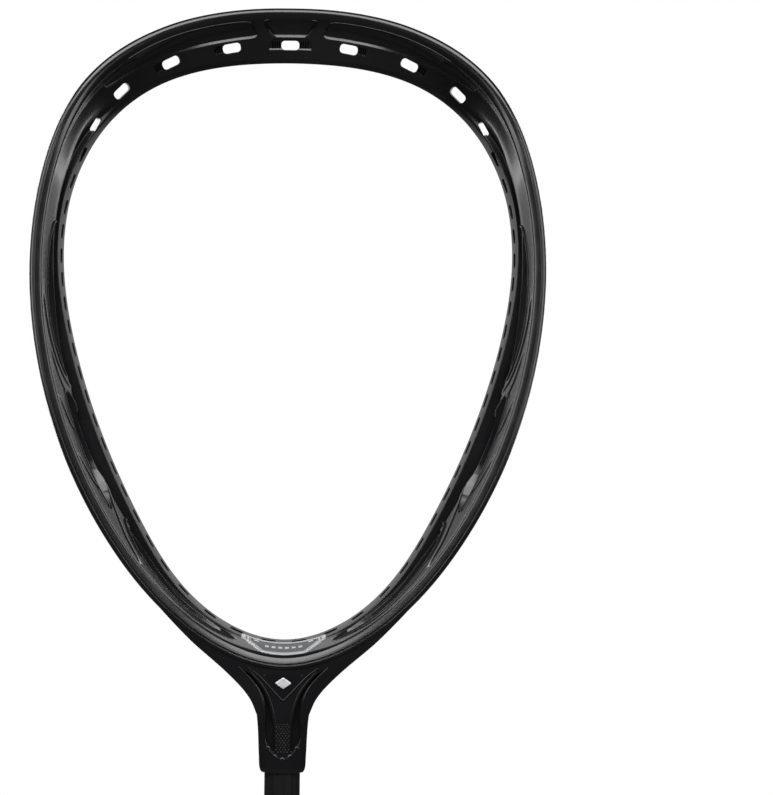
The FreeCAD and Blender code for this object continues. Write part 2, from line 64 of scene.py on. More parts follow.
# Right half of the hoop from top middle to bottom middle:
# x, height, normal x, normal z, rim y, rail inset, rail y.
HOOP = (
    (0.00, 480.07, -0.0000, 1.0000, 8.50, 30.38, 29.36),
    (12.20, 479.86, 0.0412, 0.9992, 8.25, 30.39, 29.33),
    (24.38, 479.03, 0.0954, 0.9954, 7.56, 30.17, 29.25),
    (36.48, 477.51, 0.1556, 0.9878, 6.51, 29.73, 29.11),
    (48.47, 475.21, 0.2212, 0.9752, 5.01, 29.09, 28.92),
    (60.26, 472.09, 0.2908, 0.9568, 3.06, 28.26, 28.65),
    (71.79, 468.11, 0.3627, 0.9319, 0.92, 27.28, 28.33),
    (82.98, 463.24, 0.4346, 0.9006, -1.06, 26.22, 27.97),
    (93.75, 457.50, 0.5067, 0.8621, -3.29, 25.16, 27.62),
    (103.99, 450.87, 0.5801, 0.8145, -5.44, 24.16, 27.36),
    (113.58, 443.33, 0.6553, 0.7554, -7.26, 23.22, 27.09),
    (122.36, 434.87, 0.7316, 0.6817, -8.82, 22.31, 26.85),
    (130.15, 425.48, 0.8056, 0.5925, -10.20, 21.25, 26.66),
    (136.83, 415.27, 0.8645, 0.5027, -11.36, 19.93, 26.61),
    (142.45, 404.45, 0.9078, 0.4195, -12.20, 18.41, 27.09),
    (147.10, 393.17, 0.9385, 0.3452, -12.75, 16.85, 27.95),
    (150.91, 381.58, 0.9598, 0.2806, -13.22, 15.44, 28.68),
    (153.99, 369.77, 0.9743, 0.2253, -13.61, 14.37, 29.45),
    (156.44, 357.81, 0.9843, 0.1766, -14.00, 13.74, 30.34),
    (158.31, 345.76, 0.9916, 0.1294, -14.30, 13.55, 31.28),
    (159.60, 333.62, 0.9965, 0.0834, -14.53, 13.70, 32.05),
    (160.35, 321.44, 0.9992, 0.0387, -14.77, 14.15, 32.69),
    (160.55, 309.24, 1.0000, -0.0045, -14.98, 14.83, 33.44),
    (160.24, 297.04, 0.9989, -0.0464, -15.00, 15.65, 34.22),
    (159.43, 284.87, 0.9962, -0.0870, -15.00, 16.55, 34.84),
    (158.12, 272.73, 0.9920, -0.1264, -15.00, 17.47, 35.31),
    (156.35, 260.66, 0.9863, -0.1648, -15.00, 18.34, 35.60),
    (154.10, 248.66, 0.9792, -0.2031, -15.00, 19.11, 35.83),
    (151.39, 236.77, 0.9705, -0.2412, -15.00, 19.74, 36.11),
    (148.22, 224.98, 0.9603, -0.2791, -15.00, 20.22, 36.30),
    (144.58, 213.33, 0.9485, -0.3166, -15.00, 20.55, 36.30),
    (140.49, 201.84, 0.9353, -0.3538, -15.02, 20.72, 36.30),
    (135.95, 190.51, 0.9207, -0.3904, -15.13, 20.71, 36.30),
    (130.96, 179.37, 0.9045, -0.4264, -15.21, 20.51, 36.27),
    (125.54, 168.44, 0.8870, -0.4617, -15.31, 20.12, 36.23),
    (119.70, 157.73, 0.8682, -0.4962, -15.48, 19.52, 36.16),
    (113.44, 147.25, 0.8481, -0.5299, -15.65, 18.70, 36.07),
    (106.76, 137.04, 0.8260, -0.5637, -15.81, 17.67, 35.86),
    (99.66, 127.11, 0.7994, -0.6008, -16.01, 16.47, 35.54),
    (92.09, 117.55, 0.7675, -0.6410, -16.24, 15.20, 35.17),
    (84.00, 108.40, 0.7294, -0.6841, -16.46, 13.96, 34.80),
    (75.38, 99.77, 0.6842, -0.7293, -16.68, 12.85, 34.42),
    (66.20, 91.74, 0.6314, -0.7755, -16.85, 11.95, 34.03),
    (56.46, 84.39, 0.5705, -0.8213, -16.97, 11.30, 33.65),
    (46.16, 77.85, 0.5003, -0.8658, -17.10, 10.90, 33.28),
    (35.32, 72.24, 0.4151, -0.9098, -17.24, 10.71, 32.97),
    (23.96, 67.80, 0.3083, -0.9513, -17.40, 10.69, 32.72),
    (12.14, 64.83, 0.1732, -0.9849, -17.50, 10.77, 32.56),
    (0.00, 63.71, -0.0000, -1.0000, -17.50, 10.86, 32.50),
)
Station = namedtuple("Station", "x height norm_x norm_z rim_y rail_inset rail_y")
LENGTH = STEP * (len(HOOP) - 1)               # arc at the bottom middle
PARITY = np.array([-1, 1, -1, 1, 1, 1, 1.0])  # what a mirror in X does to each column
ROWS = np.array(HOOP)
PADDED = np.vstack([ROWS[1:4][::-1] * PARITY, ROWS, ROWS[-4:-1][::-1] * PARITY])

# String holes: x, height.
HOLES = (
    (0.0, 460.5), (38.0, 457.7), (77.0, 448.2), (109.5, 429.5), (125.8, 406.5),
    (134.6, 387.5), (140.6, 370.5), (143.6, 353.6), (145.0, 338.2), (145.2, 322.8),
    (144.6, 307.8), (142.8, 292.3), (140.6, 277.3), (137.6, 262.1), (133.6, 247.2),
    (128.4, 232.3), (122.8, 217.0), (116.8, 201.7), (110.2, 186.0), (103.4, 171.2),
    (95.6, 154.8), (86.4, 138.7), (76.6, 123.5), (64.0, 108.0), (47.3, 92.2),
    (30.4, 81.4), (9.8, 75.2),
)
# Outlines of the openings in the side walls: y, height.
WINDOWS = (
    ((8.6, 343.0), (5.2, 340.0), (0.8, 327.0), (-2.4, 311.0), (-3.2, 287.0),
     (0.0, 270.0), (5.4, 253.0), (11.2, 243.4), (16.2, 244.6), (18.0, 262.0),
     (15.8, 306.0), (12.8, 339.0)),
    ((0.2, 232.5), (4.6, 234.6), (9.0, 230.0), (18.2, 214.0), (18.2, 187.0),
     (6.0, 163.4), (2.2, 160.0), (-1.4, 163.0)),
    ((12.0, 149.0), (9.0, 147.6), (-0.8, 131.5), (-2.2, 112.0), (-1.8, 92.0),
     (0.6, 80.0), (3.4, 78.0), (6.8, 80.6), (12.2, 96.0), (15.6, 119.0),
     (17.2, 142.0), (15.8, 148.0)),
)


# ---- curves and outlines ------------------------------------------------
def lerp(start, end, t):
    return start + (end - start) * t


def clamp(t):
    return max(0.0, min(1.0, t))


def smooth(t):
    t = clamp(t)
    return t * t * (3 - 2 * t)


def chaikin(points, rounds=2, closed=True):
    """Points with their corners cut off, round after round."""
    points = [np.array(p, float) for p in points]
    for _ in range(rounds):
        out = []
        n = len(points)
        for i in range(n if closed else n - 1):
            start, end = points[i], points[(i + 1) % n]
            out += [start * 0.75 + end * 0.25, start * 0.25 + end * 0.75]
        if not closed:
            out = [points[0]] + out + [points[-1]]
        points = out
    return points


def rounded(corners, segments=4):
    """Closed outline from corners (u, v, radius)."""
    out = []
    for i, (u, v, radius) in enumerate(corners):
        corner = np.array((u, v))
        before = np.array(corners[i - 1][:2])
        after = np.array(corners[(i + 1) % len(corners)][:2])
        gap_before = np.linalg.norm(before - corner)
        gap_after = np.linalg.norm(after - corner)
        start = corner + (before - corner) * (min(radius, 0.46 * gap_before) / gap_before)
        end = corner + (after - corner) * (min(radius, 0.46 * gap_after) / gap_after)
        for k in range(segments + 1):
            t = k / segments
            out.append((1 - t) ** 2 * start + 2 * t * (1 - t) * corner + t * t * end)
    return out


def octagon(width, depth, chamfer):
    x, y = width / 2, depth / 2
    return [(x - chamfer, -y), (x, -y + chamfer), (x, y - chamfer), (x - chamfer, y),
            (-x + chamfer, y), (-x, y - chamfer), (-x, -y + chamfer), (-x + chamfer, -y)]


def point(x, y, height):
    """A point of the head, in metres."""
    return (x * MM, y * MM, (height + Z_MOUTH) * MM)


# ---- mesh helpers -------------------------------------------------------
def new_object(name, verts, faces):
    mesh = bpy.data.meshes.new(name)
    mesh.from_pydata([tuple(v) for v in verts], [], faces)
    mesh.update()
    obj = bpy.data.objects.new(name, mesh)
    bpy.context.scene.collection.objects.link(obj)
    return obj


def skin(rings, name="part", closed=False):
    """Quads between rings of points; ends capped unless the rings close up."""
    n, m = len(rings[0]), len(rings)
    verts = [v for ring in rings for v in ring]
    faces = []
    for i in range(m if closed else m - 1):
        j = (i + 1) % m
        for k in range(n):
            l = (k + 1) % n
            faces.append((i * n + k, i * n + l, j * n + l, j * n + k))
    if not closed:
        faces.append(tuple(range(n))[::-1])
        faces.append(tuple((m - 1) * n + k for k in range(n)))
    obj = new_object(name, verts, faces)
    bm = bmesh.new()
    bm.from_mesh(obj.data)
    bmesh.ops.recalc_face_normals(bm, faces=bm.faces)
    bm.to_mesh(obj.data)
    bm.free()
    return obj


def prism(points, sweep):
    """Solid swept from an outline along a vector, all in metres."""
    sweep = Vector(sweep)
    return skin([[Vector(p) for p in points], [Vector(p) + sweep for p in points]])


def x_prism(outline, x, width):
    """Prism along X from an outline of (y, height)."""
    return prism([point(x, y, height) for y, height in outline], (width * MM, 0, 0))


def y_prism(outline, y, depth):
    """Prism along Y from an outline of (x, height)."""
    return prism([point(x, y, height) for x, height in outline], (0, depth * MM, 0))


def cylinder(radius, x_start, x_end, height, y=0.0, segments=40):
    """Cylinder along X."""
    angles = [2 * math.pi * k / segments for k in range(segments)]
    return skin([[(x * MM, (y + radius * math.cos(angle)) * MM,
                   (height + Z_MOUTH + radius * math.sin(angle)) * MM) for angle in angles]
                 for x in (x_start, x_end)])


def tube(points, radius, segments, name="part"):
    """Round bead through points given in metres."""
    points = [Vector(p) for p in points]
    angles = [2 * math.pi * k / segments for k in range(segments)]
    rings = []
    for i, centre in enumerate(points):
        ahead = points[min(i + 1, len(points) - 1)]
        along = (ahead - points[max(i - 1, 0)]).normalized()
        across = along.cross(Vector((0, 1, 0))).normalized()
        third = across.cross(along)
        rings.append([centre + (across * math.cos(angle) + third * math.sin(angle)) * radius * MM
                      for angle in angles])
    return skin(rings, name)


def apply_modifiers(obj):
    bpy.context.view_layer.update()
    depsgraph = bpy.context.evaluated_depsgraph_get()
    mesh = bpy.data.meshes.new_from_object(obj.evaluated_get(depsgraph))
    obj.modifiers.clear()
    old = obj.data
    obj.data = mesh
    bpy.data.meshes.remove(old)


def bevel(obj, width, segments, angle):
    modifier = obj.modifiers.new("bevel", "BEVEL")
    modifier.width = width * MM
    modifier.segments = segments
    modifier.limit_method = "ANGLE"
    modifier.angle_limit = math.radians(angle)
    apply_modifiers(obj)


def join(parts, name="joined"):
    verts, faces = [], []
    for part in parts:
        base = len(verts)
        verts += [v.co.copy() for v in part.data.vertices]
        faces += [tuple(i + base for i in f.vertices) for f in part.data.polygons]
        bpy.data.objects.remove(part)
    return new_object(name, verts, faces)


def boolean(target, *parts, operation="DIFFERENCE"):
    """Cut the parts from the target, or combine them; the parts are used up."""
    tool = parts[0] if len(parts) == 1 else join(parts)
    modifier = target.modifiers.new("boolean", "BOOLEAN")
    modifier.operation = operation
    modifier.object = tool
    modifier.solver = "MANIFOLD"
    apply_modifiers(target)
    bpy.data.objects.remove(tool)


def mirror_copy(obj):
    mesh = obj.data.copy()
    mesh.transform(Matrix.Scale(-1, 4, (1, 0, 0)))
    mesh.flip_normals()
    copy = bpy.data.objects.new("mirrored", mesh)
    bpy.context.scene.collection.objects.link(copy)
    return copy


def shade(obj, angle):
    """Smooth shading, with edges over the angle (degrees) left sharp."""
    obj.data.shade_smooth()
    obj.data.set_sharp_from_angle(angle=math.radians(angle))
    return obj


def attach(obj, carrier, replaces=None):
    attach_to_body(obj, carrier)
    if replaces:
        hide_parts(replaces)


# ---- hoop ---------------------------------------------------------------
def station(arc):
    """Smooth (Catmull-Rom) hoop data at an arc of the right half."""
    position = min(max(arc / STEP, 0.0), len(HOOP) - 1 - 1e-9)
    i = int(position)
    t = position - i
    p0, p1, p2, p3 = PADDED[i + 2:i + 6]
    row = 0.5 * (2 * p1 + (p2 - p0) * t + (2 * p0 - 5 * p1 + 4 * p2 - p3) * t ** 2
                 + (3 * p1 - p0 - 3 * p2 + p3) * t ** 3)
    size = math.hypot(row[2], row[3])
    row[2] /= size
    row[3] /= size
    return Station(*row)


def scoop_weight(arc):
    """1 at the top of the hoop, where the wall is the scoop plate, 0 down the sides."""
    return 1.0 - smooth((arc - 118.0) / 105.0)


def throat_weight(arc):
    return smooth((arc - (LENGTH - 75.0)) / 60.0)


def section(row, scoop, throat):
    """Corners (inset, y, radius) of the hoop: rim with its bead and groove, channel,
    ribbed rear beam and string rail; blended by scoop into the scoop plate."""
    inset, front, back = row.rail_inset, row.rim_y, row.rail_y
    rail = back - RAIL_WIDTH
    channel = lerp(min(13.4, inset - 2.4), inset - 0.9, throat)
    wall = (
        (0.0, front + 3.7, 2.2), (1.4, front + 0.7, 1.0), (3.4, front + 0.0, 0.5),
        (3.9, front + 0.75, 0.25), (4.4, front + 0.2, 0.4), (RIM_WIDTH - 0.7, front + 1.75, 0.8),
        (RIM_WIDTH, front + 2.9, 0.6),
        (lerp(RIM_WIDTH - 0.9, RIM_WIDTH + 0.6, throat), front + 4.6, 0.8),
        (lerp(channel - 0.9, channel, throat), rail - 9.5, 2.0),
        (channel, rail - 6.0, 1.0), (lerp(channel - 2.6, channel, throat), rail - 3.6, 0.8),
        (lerp(9.4, inset - 1.6, throat), rail + 1.2, 0.7),
        (inset - 1.2, rail + 1.0, 0.7), (inset, back - 0.2, 0.6),
        (inset - RAIL_WALL, back, 0.7), (inset - RAIL_WALL - 0.5, rail + 5.0, 0.9),
        (7.2, rail + 3.8, 1.4), (5.9, rail - 0.2, 0.5), (6.5, rail - 2.0, 0.4),
        (5.7, rail - 3.6, 0.5), (6.4, rail - 5.4, 0.4), (5.8, rail - 7.6, 1.2),
        (5.6, lerp(front, rail, 0.52), 3.0), (4.4, front + RIM_DEPTH + 1.4, 1.0),
        (0.55, front + RIM_DEPTH, 1.3),
    )
    depth = back - front

    def inner(part, radius):
        """Corner on the plate's inner surface, a part of the way from rim to back edge."""
        bulge = 0.045 * math.sin(math.pi * part)
        return (inset * part, front + depth * (part * 0.93 + bulge), radius)

    plate = (
        (0.0, front + 2.6, 1.6), (1.3, front + 0.6, 1.2), (3.2, front + 0.25, 1.0),
        (4.6, front + 0.55, 1.0), (5.9, front + 1.3, 1.0), (7.2, front + 2.7, 0.8),
        (8.2, front + 4.2, 0.9), inner(0.36, 1.5), inner(0.48, 3.0),
        inner(0.60, 3.0), inner(0.72, 3.0),
        inner(0.84, 3.0), inner(0.93, 2.0), (inset, back, 0.7),
        (inset - 0.7, back + 2.8, 1.1), (inset - 4.0, back + 3.9, 2.0),
        (inset * 0.68, front + depth * 1.04, 3.0), (inset * 0.57, front + depth * 0.97, 3.0),
        (inset * 0.48, front + depth * 0.88, 3.0), (inset * 0.39, front + depth * 0.785, 3.0),
        (inset * 0.31, front + depth * 0.69, 3.0), (inset * 0.24, front + depth * 0.60, 3.0),
        (inset * 0.16, front + depth * 0.48, 2.5), (2.8, front + 8.2, 2.0),
        (0.4, front + 5.6, 1.6),
    )
    return [tuple(lerp(p[i], q[i], scoop) for i in range(3)) for p, q in zip(wall, plate)]


def section_outline(row, arc, throat):
    return rounded(section(row, scoop_weight(arc), throat))


def place(row, inset, y, side=1.0):
    """A point of the hoop's section at a station, in metres."""
    return (side * (row.x - row.norm_x * inset) * MM, y * MM,
            (row.height + Z_MOUTH - row.norm_z * inset) * MM)


RING_COUNT = int(LENGTH / RING_STEP)
rings = []
outlines = []
for i in range(RING_COUNT + 1):
    arc = LENGTH * i / RING_COUNT
    row = station(arc)
    outlines.append(section_outline(row, arc, throat_weight(arc)))
    rings.append([place(row, inset, y) for inset, y in outlines[-1]])
left_rings = [[(-x, y, z) for x, y, z in ring] for ring in rings[1:-1]][::-1]
head = skin(rings + left_rings, "head_shell", closed=True)

# ---- yoke, collar and heel ----------------------------------------------
# Lower edge of the yoke's right arm: x, height.
ARM = ((80.0, 105.6), (71.3, 96.0), (58.0, 82.4), (50.9, 76.2), (43.5, 70.0), (36.4, 63.9),
       (29.8, 57.6), (23.9, 51.4), (19.6, 45.3), (17.5, 40.2), (16.0, 36.2), (11.0, 31.5))
YOKE_TOP_X = (75.0, 66.0, 58.0, 50.0, 42.0, 34.0, 26.0, 18.0, 10.0, 3.0)
# Material taken off the back of each arm: x, y.
ARM_RELIEF = ((92.0, -10.2), (80.0, -9.6), (66.0, -3.0), (57.0, 4.0), (51.0, 6.8), (44.0, 8.8),
              (36.0, 14.0), (26.0, 24.0), (92.0, 24.0))
# Collar rings: half width, front y, back y, corner cut, height.
COLLAR = (
    (12.9, -13.9, 14.6, 4.2, 0.0), (13.3, -14.3, 15.3, 4.3, 0.35), (13.9, -14.8, 16.2, 4.4, 1.6),
    (14.3, -15.0, 17.0, 4.4, 3.4), (14.5, -15.1, 17.4, 4.4, 5.4), (14.6, -15.2, 17.6, 4.4, 9.0),
    (14.85, -15.3, 17.7, 4.4, 14.0), (15.1, -15.45, 17.6, 4.4, 20.6),
    (15.4, -15.6, 17.4, 4.3, 27.0), (15.75, -15.66, 17.28, 3.8, 31.5),
    (16.1, -15.66, 17.26, 3.1, 35.0), (16.5, -15.5, 17.1, 3.0, 37.5),
    (16.1, -14.6, 16.2, 3.2, 40.5),
)
# Heel behind the yoke: side view as y, height, and its side cuts as x, height.
HEEL = ((15.0, 73.0), (31.3, 73.0), (31.3, 57.2), (24.0, 57.2), (17.1, 48.2), (15.0, 48.2))
HEEL_RELIEF = ((9.0, 38.0), (34.0, 38.0), (34.0, 72.0), (20.0, 70.0), (17.6, 62.0), (13.4, 54.0))
HEEL_HALF_WIDTH = 21.0


def height_in_rim(x):
    """Height at x of the line 5 mm in from the bottom of the rim."""
    row = min((station(arc) for arc in np.arange(430.0, LENGTH, 1.0)),
              key=lambda r: abs(r.x - r.norm_x * 5.0 - x))
    return row.height - row.norm_z * 5.0


def make_yoke():
    right = [(x, height_in_rim(x)) for x in YOKE_TOP_X][::-1] + chaikin(ARM, closed=False)
    outline = right + [(-x, height) for x, height in right[::-1]]
    yoke = y_prism(outline, YOKE_FRONT, YOKE_BACK - YOKE_FRONT)
    for side in (1, -1):
        boolean(yoke, prism([point(side * x, y, 52.0) for x, y in ARM_RELIEF], (0, 0, 0.055)))
    bevel(yoke, width=3.5, segments=8, angle=50.0)
    return yoke


def collar_ring(half, front, back, cut, height):
    step = 0.95 if cut > 4.0 else 0.95 * max(0.0, (cut - 3.0) / 1.0)
    corners = ((4.5, front), (half - cut + 0.3, front + step), (half, front + cut),
               (half, back - cut), (half - cut, back), (-half + cut, back),
               (-half, back - cut), (-half, front + cut), (-half + cut - 0.3, front + step),
               (-4.5, front))
    return [point(x, y, height) for x, y in rounded([(*corner, 1.0) for corner in corners])]


def make_heel():
    heel = x_prism(chaikin(HEEL, 1), -HEEL_HALF_WIDTH, 2 * HEEL_HALF_WIDTH)
    for side in (1, -1):
        boolean(heel, y_prism([(side * x, height) for x, height in HEEL_RELIEF], 42.0, -34.0))
    # clear the inside of the hoop
    core = []
    for arc in np.arange(440.0, LENGTH + 0.1, 6.0):
        row = station(arc)
        inset = row.rail_inset - 0.2
        core.append((row.x - row.norm_x * inset, row.height - row.norm_z * inset))
    core += [(-x, height) for x, height in reversed(core[:-1])]
    boolean(heel, y_prism(core, 0.0, 60.0))
    bevel(heel, width=0.8, segments=3, angle=35.0)
    return heel


yoke = make_yoke()
collar = skin([collar_ring(*level) for level in COLLAR])
heel = make_heel()
for part in (yoke, collar, heel):
    boolean(head, part, operation="UNION")

# ---- side walls: window borders, beams and windows ----------------------
WALL_ARCS = np.arange(150.0, LENGTH - 20.0, 1.0)
WALL_HEIGHTS = np.array([row.height - row.norm_z * 6.0 for row in map(station, WALL_ARCS)])
# Cross-section of a wall bar: place across its width, and part of its full lift.
BAR_CROWN = [(across, math.cos(math.pi * across) ** 0.8 if abs(across) < 0.5 else 0.0)
             for across in (-0.5, -0.36, -0.2, 0.0, 0.2, 0.36, 0.5)]
BURIED = None                                 # marks the foot of a bar, inside the wall
BAR_PROFILE = [(-0.5, BURIED)] + BAR_CROWN + [(0.5, BURIED)]
BORDER_WIDTH = 2.6
# Diagonal beams: path as (y, height), width, lift.
BEAMS = (
    (((-7.0, 296.0), (-6.6, 284.0), (-3.8, 268.5), (2.0, 250.5), (8.5, 239.5), (15.5, 234.0)),
     6.0, 1.5),
    (((16.0, 178.0), (9.5, 163.0), (2.5, 149.5), (-3.5, 139.0), (-7.0, 126.0)), 7.6, 1.6),
)
# Thin bars, on the inner faces only: path as (y, height).
THIN_BARS = (((-5.6, 262.0), (-2.0, 246.0), (4.0, 232.0), (11.0, 223.0)),
             ((-7.0, 232.0), (-4.0, 216.0), (1.5, 203.0), (6.0, 196.0)),
             ((-7.6, 196.0), (-4.6, 180.0), (0.0, 168.0), (5.0, 160.0)))


def wall_point(y, height, lift, outer):
    """A point standing a lift off the right wall's outer or inner face."""
    arc = float(np.interp(height, WALL_HEIGHTS[::-1], WALL_ARCS[::-1]))
    row = station(arc)
    y = max(y, row.rim_y + (RIM_DEPTH + 2.0 if outer else 4.8))
    position = arc / LENGTH * RING_COUNT
    i = int(position)
    insets = []
    for outline in outlines[i:i + 2]:
        hits = sorted(lerp(p[0], q[0], (y - p[1]) / (q[1] - p[1]))
                      for p, q in zip(outline, outline[1:] + outline[:1])
                      if (p[1] - y) * (q[1] - y) <= 0.0 and abs(p[1] - q[1]) > 1e-6)
        insets.append(hits[0] if outer else hits[min(1, len(hits) - 1)])
    return place(row, lerp(*insets, position - i) + (-lift if outer else lift), y)


def wall_bar(path, width, lift, outer, closed=False):
    """Crowned bar along a path; an open bar's ends sink into the wall."""
    n = len(path)
    rings = []
    for i in range(n):
        before = path[i - 1] if closed or i > 0 else path[i]
        after = path[(i + 1) % n] if closed or i < n - 1 else path[i]
        along = (after - before) / np.hypot(*(after - before))
        normal = np.array([-along[1], along[0]])
        fade = 1.0 if closed else min(1.0, (i + 0.2) / 4.0, (n - 1 - i + 0.2) / 4.0)
        rings.append([wall_point(*(path[i] + normal * across * width),
                                 -0.9 if crown is BURIED else 0.05 + lift * crown * fade, outer)
                      for across, crown in BAR_PROFILE])
    return skin(rings, closed=closed)


def window_border(window, outer):
    outline = chaikin(window, 3)
    middle = sum(outline) / len(outline)
    loop = []
    for i, corner in enumerate(outline):
        along = outline[(i + 1) % len(outline)] - outline[i - 1]
        normal = np.array([along[1], -along[0]]) / np.hypot(*along)
        if normal @ (corner - middle) < 0:
            normal = -normal
        loop.append(corner + normal * 0.6)
    return wall_bar(loop, BORDER_WIDTH, 0.6 if outer else 1.1, outer, closed=True)


for outer in (True, False):
    groups = [[window_border(window, outer)] for window in WINDOWS]
    width_share, lift_share = (1.0, 1.0) if outer else (0.5, 0.6)
    groups.append([wall_bar(chaikin(path, closed=False), width * width_share,
                            lift * lift_share, outer) for path, width, lift in BEAMS])
    if not outer:
        groups[-1 + len(groups):] = [groups[-1]]
        groups.append([wall_bar(chaikin(path, closed=False), 2.4, 0.8, outer)
                       for path in THIN_BARS])
    for group in groups:
        boolean(head, *group, *[mirror_copy(bar) for bar in group], operation="UNION")

boolean(head, *[x_prism(chaikin(window), side * 40.0, side * 140.0)
                for window in WINDOWS for side in (1, -1)])


# ---- string holes -------------------------------------------------------
def rounded_bar(centre, along, across, through, length, width, radius, depth):
    """Round-cornered slot cutter: centre in metres, three unit axes and sizes in mm."""
    segments = 5
    points = []
    for side_u, side_v, start in ((1, 1, 0), (-1, 1, 90), (-1, -1, 180), (1, -1, 270)):
        for k in range(segments + 1):
            angle = math.radians(start + 90.0 * k / segments)
            u = side_u * (length / 2 - radius) + radius * math.cos(angle)
            v = side_v * (width / 2 - radius) + radius * math.sin(angle)
            points.append(centre + (along * u + across * v - through * (depth / 2)) * MM)
    return prism(points, through * depth * MM)


def hole_seat(arc):
    """Arc, station, scoop weight and inset of a possible hole."""
    row = station(arc)
    scoop = scoop_weight(arc)
    return arc, row, scoop, lerp(row.rail_inset - 1.8, row.rail_inset * 0.66, scoop)


HOLE_SEATS = [hole_seat(arc) for arc in np.arange(0.0, LENGTH + 0.05, 0.5)]


def nearest_seat(x, height):
    def distance(seat):
        _, row, _, inset = seat
        return ((row.x - row.norm_x * inset - x) ** 2
                + (row.height - row.norm_z * inset - height) ** 2)
    return min(HOLE_SEATS, key=distance)


def hole_cutter(x, height):
    _, row, scoop, inset = nearest_seat(x, height)
    normal = Vector((row.norm_x, 0, row.norm_z))
    along = Vector((row.norm_z, 0, -row.norm_x))
    y = lerp(row.rail_y - 7.0, lerp(row.rim_y, row.rail_y, 0.76), scoop)
    through = (normal * (1 - scoop) + Vector((0, 1, 0)) * scoop
               + normal * (0.3 if scoop > 0.95 else 0.0)).normalized()
    length, width = lerp(9.4, 11.6, scoop), lerp(5.0, 5.8, scoop)
    if 0.5 < scoop < 0.95:                    # where the plate turns edge on
        length, width = 9.6, 3.6
    return rounded_bar(Vector(place(row, inset, y)), along, through.cross(along), through,
                       length, width, min(width * 0.4, 2.3), lerp(9.0, 24.0, scoop))


cutters = []
for x, height in HOLES:
    cutters.append(hole_cutter(x, height))
    if x > 1.0:
        cutters.append(mirror_copy(cutters[-1]))
boolean(head, *cutters)

# ---- scoop panels -------------------------------------------------------
# Sunken panels of the scoop: arc, first inset, last inset.
LONG_PANEL = ((22.4, 13.0, 14.2), (27.0, 7.9, 14.9), (45.0, 7.9, 15.0), (62.0, 7.9, 14.6),
              (79.0, 7.9, 13.9), (96.0, 8.0, 13.0), (112.0, 8.2, 11.9), (128.0, 8.4, 10.6),
              (136.0, 8.7, 9.6))
MIDDLE_PANEL = ((0.0, 7.9, 14.8), (11.8, 7.9, 14.8), (17.0, 7.9, 8.8))
MIDDLE_SLOT = ((0.0, 17.2, 22.4), (12.2, 17.2, 22.4), (14.8, 19.6, 22.4))
PANEL_DEPTH = 1.55
# Trenches beside each of the top holes.
TRENCH_COUNT, TRENCH_PITCH, TRENCH_HALF_WIDTH = 4, 1.6, 0.42
TRENCH_START, TRENCH_HALF_LENGTH = 7.4, 1.9   # arc from the hole; inset either way


def inner_y(row, arc, inset):
    """y of the hoop's front inner surface at an inset."""
    surface = section_outline(row, arc, 0.0)[10:70]
    hits = [lerp(p[1], q[1], (inset - p[0]) / max(1e-6, q[0] - p[0]))
            for p, q in zip(surface, surface[1:]) if p[0] <= inset <= q[0]]
    return min(hits, default=surface[-1][1])


def panel_ring(keys, arc, depth, side, lip=1.4):
    """Section of a panel cutter, between insets interpolated from keys."""
    start, end = next(pair for pair in zip(keys, keys[1:]) if pair[0][0] <= arc <= pair[1][0])
    t = (arc - start[0]) / (end[0] - start[0])
    first, last = lerp(start[1], end[1], t), lerp(start[2], end[2], t)
    row = station(arc)
    steps = 6
    points = []
    for k in range(steps + 1):
        inset = lerp(first, last + lip, k / steps)
        points.append((inset, inner_y(row, arc, inset) - 5.0))
    points.append((last + lip, inner_y(row, arc, last + lip) - 0.05))
    for k in range(steps, -1, -1):
        inset = lerp(first + 0.15, last - 0.5, k / steps)
        points.append((inset, inner_y(row, arc, inset) + depth * lerp(0.7, 1.0, k / steps)))
    points.append((first - 0.2, inner_y(row, arc, first) - 0.3))
    return [place(row, inset, y, side) for inset, y in points]


def middle_cutter(keys, end, steps, depth, **lip):
    """Panel cutter running across the top middle of the scoop."""
    rings = [panel_ring(keys, arc, depth, -1, **lip) for arc in np.linspace(end, 0.0, steps)]
    rings += [panel_ring(keys, arc, depth, 1, **lip)
              for arc in np.linspace(0.0, end, steps)[1:]]
    return skin(rings)


def trench_cutter(arc, inset, side):
    near, far = inset - TRENCH_HALF_LENGTH, inset + TRENCH_HALF_LENGTH
    rings = []
    for offset in (-TRENCH_HALF_WIDTH, TRENCH_HALF_WIDTH):
        row = station(arc + offset)
        rings.append([place(row, edge, inner_y(row, arc, edge) + lift, side)
                      for edge, lift in ((near, -3.0), (far, -3.0), (far, 2.1), (near, 2.1))])
    return skin(rings)


cutters = [skin([panel_ring(LONG_PANEL, arc, PANEL_DEPTH, side)
                 for arc in np.linspace(22.4, 136.0, 54)]) for side in (1, -1)]
cutters.append(middle_cutter(MIDDLE_PANEL, end=16.6, steps=12, depth=PANEL_DEPTH))
boolean(head, *cutters)
boolean(head, middle_cutter(MIDDLE_SLOT, end=14.8, steps=10, depth=0.9, lip=0.7))

cutters = []
for x, height in HOLES[:3]:
    arc, _, _, inset = nearest_seat(x, height)
    for side in ((1,) if x > 1.0 else (1, -1)):
        for k in range(TRENCH_COUNT):
            cutters.append(trench_cutter(arc + TRENCH_START + TRENCH_PITCH * k, inset, side))
            if x > 1.0:
                cutters.append(mirror_copy(cutters[-1]))
boolean(head, *cutters)

# ---- cuts in the throat and collar --------------------------------------
# Sunken channel on the front of the throat: x, height, for the -X side.
CHANNEL = ((-26.4, 64.6), (-19.0, 57.4), (-14.6, 51.6), (-12.3, 46.4), (-11.3, 40.0),
           (-11.2, 30.0), (-11.2, 21.0), (-9.6, 16.8), (-7.2, 14.2), (-4.9, 12.6), (-4.9, 20.0),
           (-4.9, 30.0), (-5.6, 34.4), (-6.9, 41.0), (-10.8, 51.6), (-15.8, 58.2), (-21.0, 63.6))
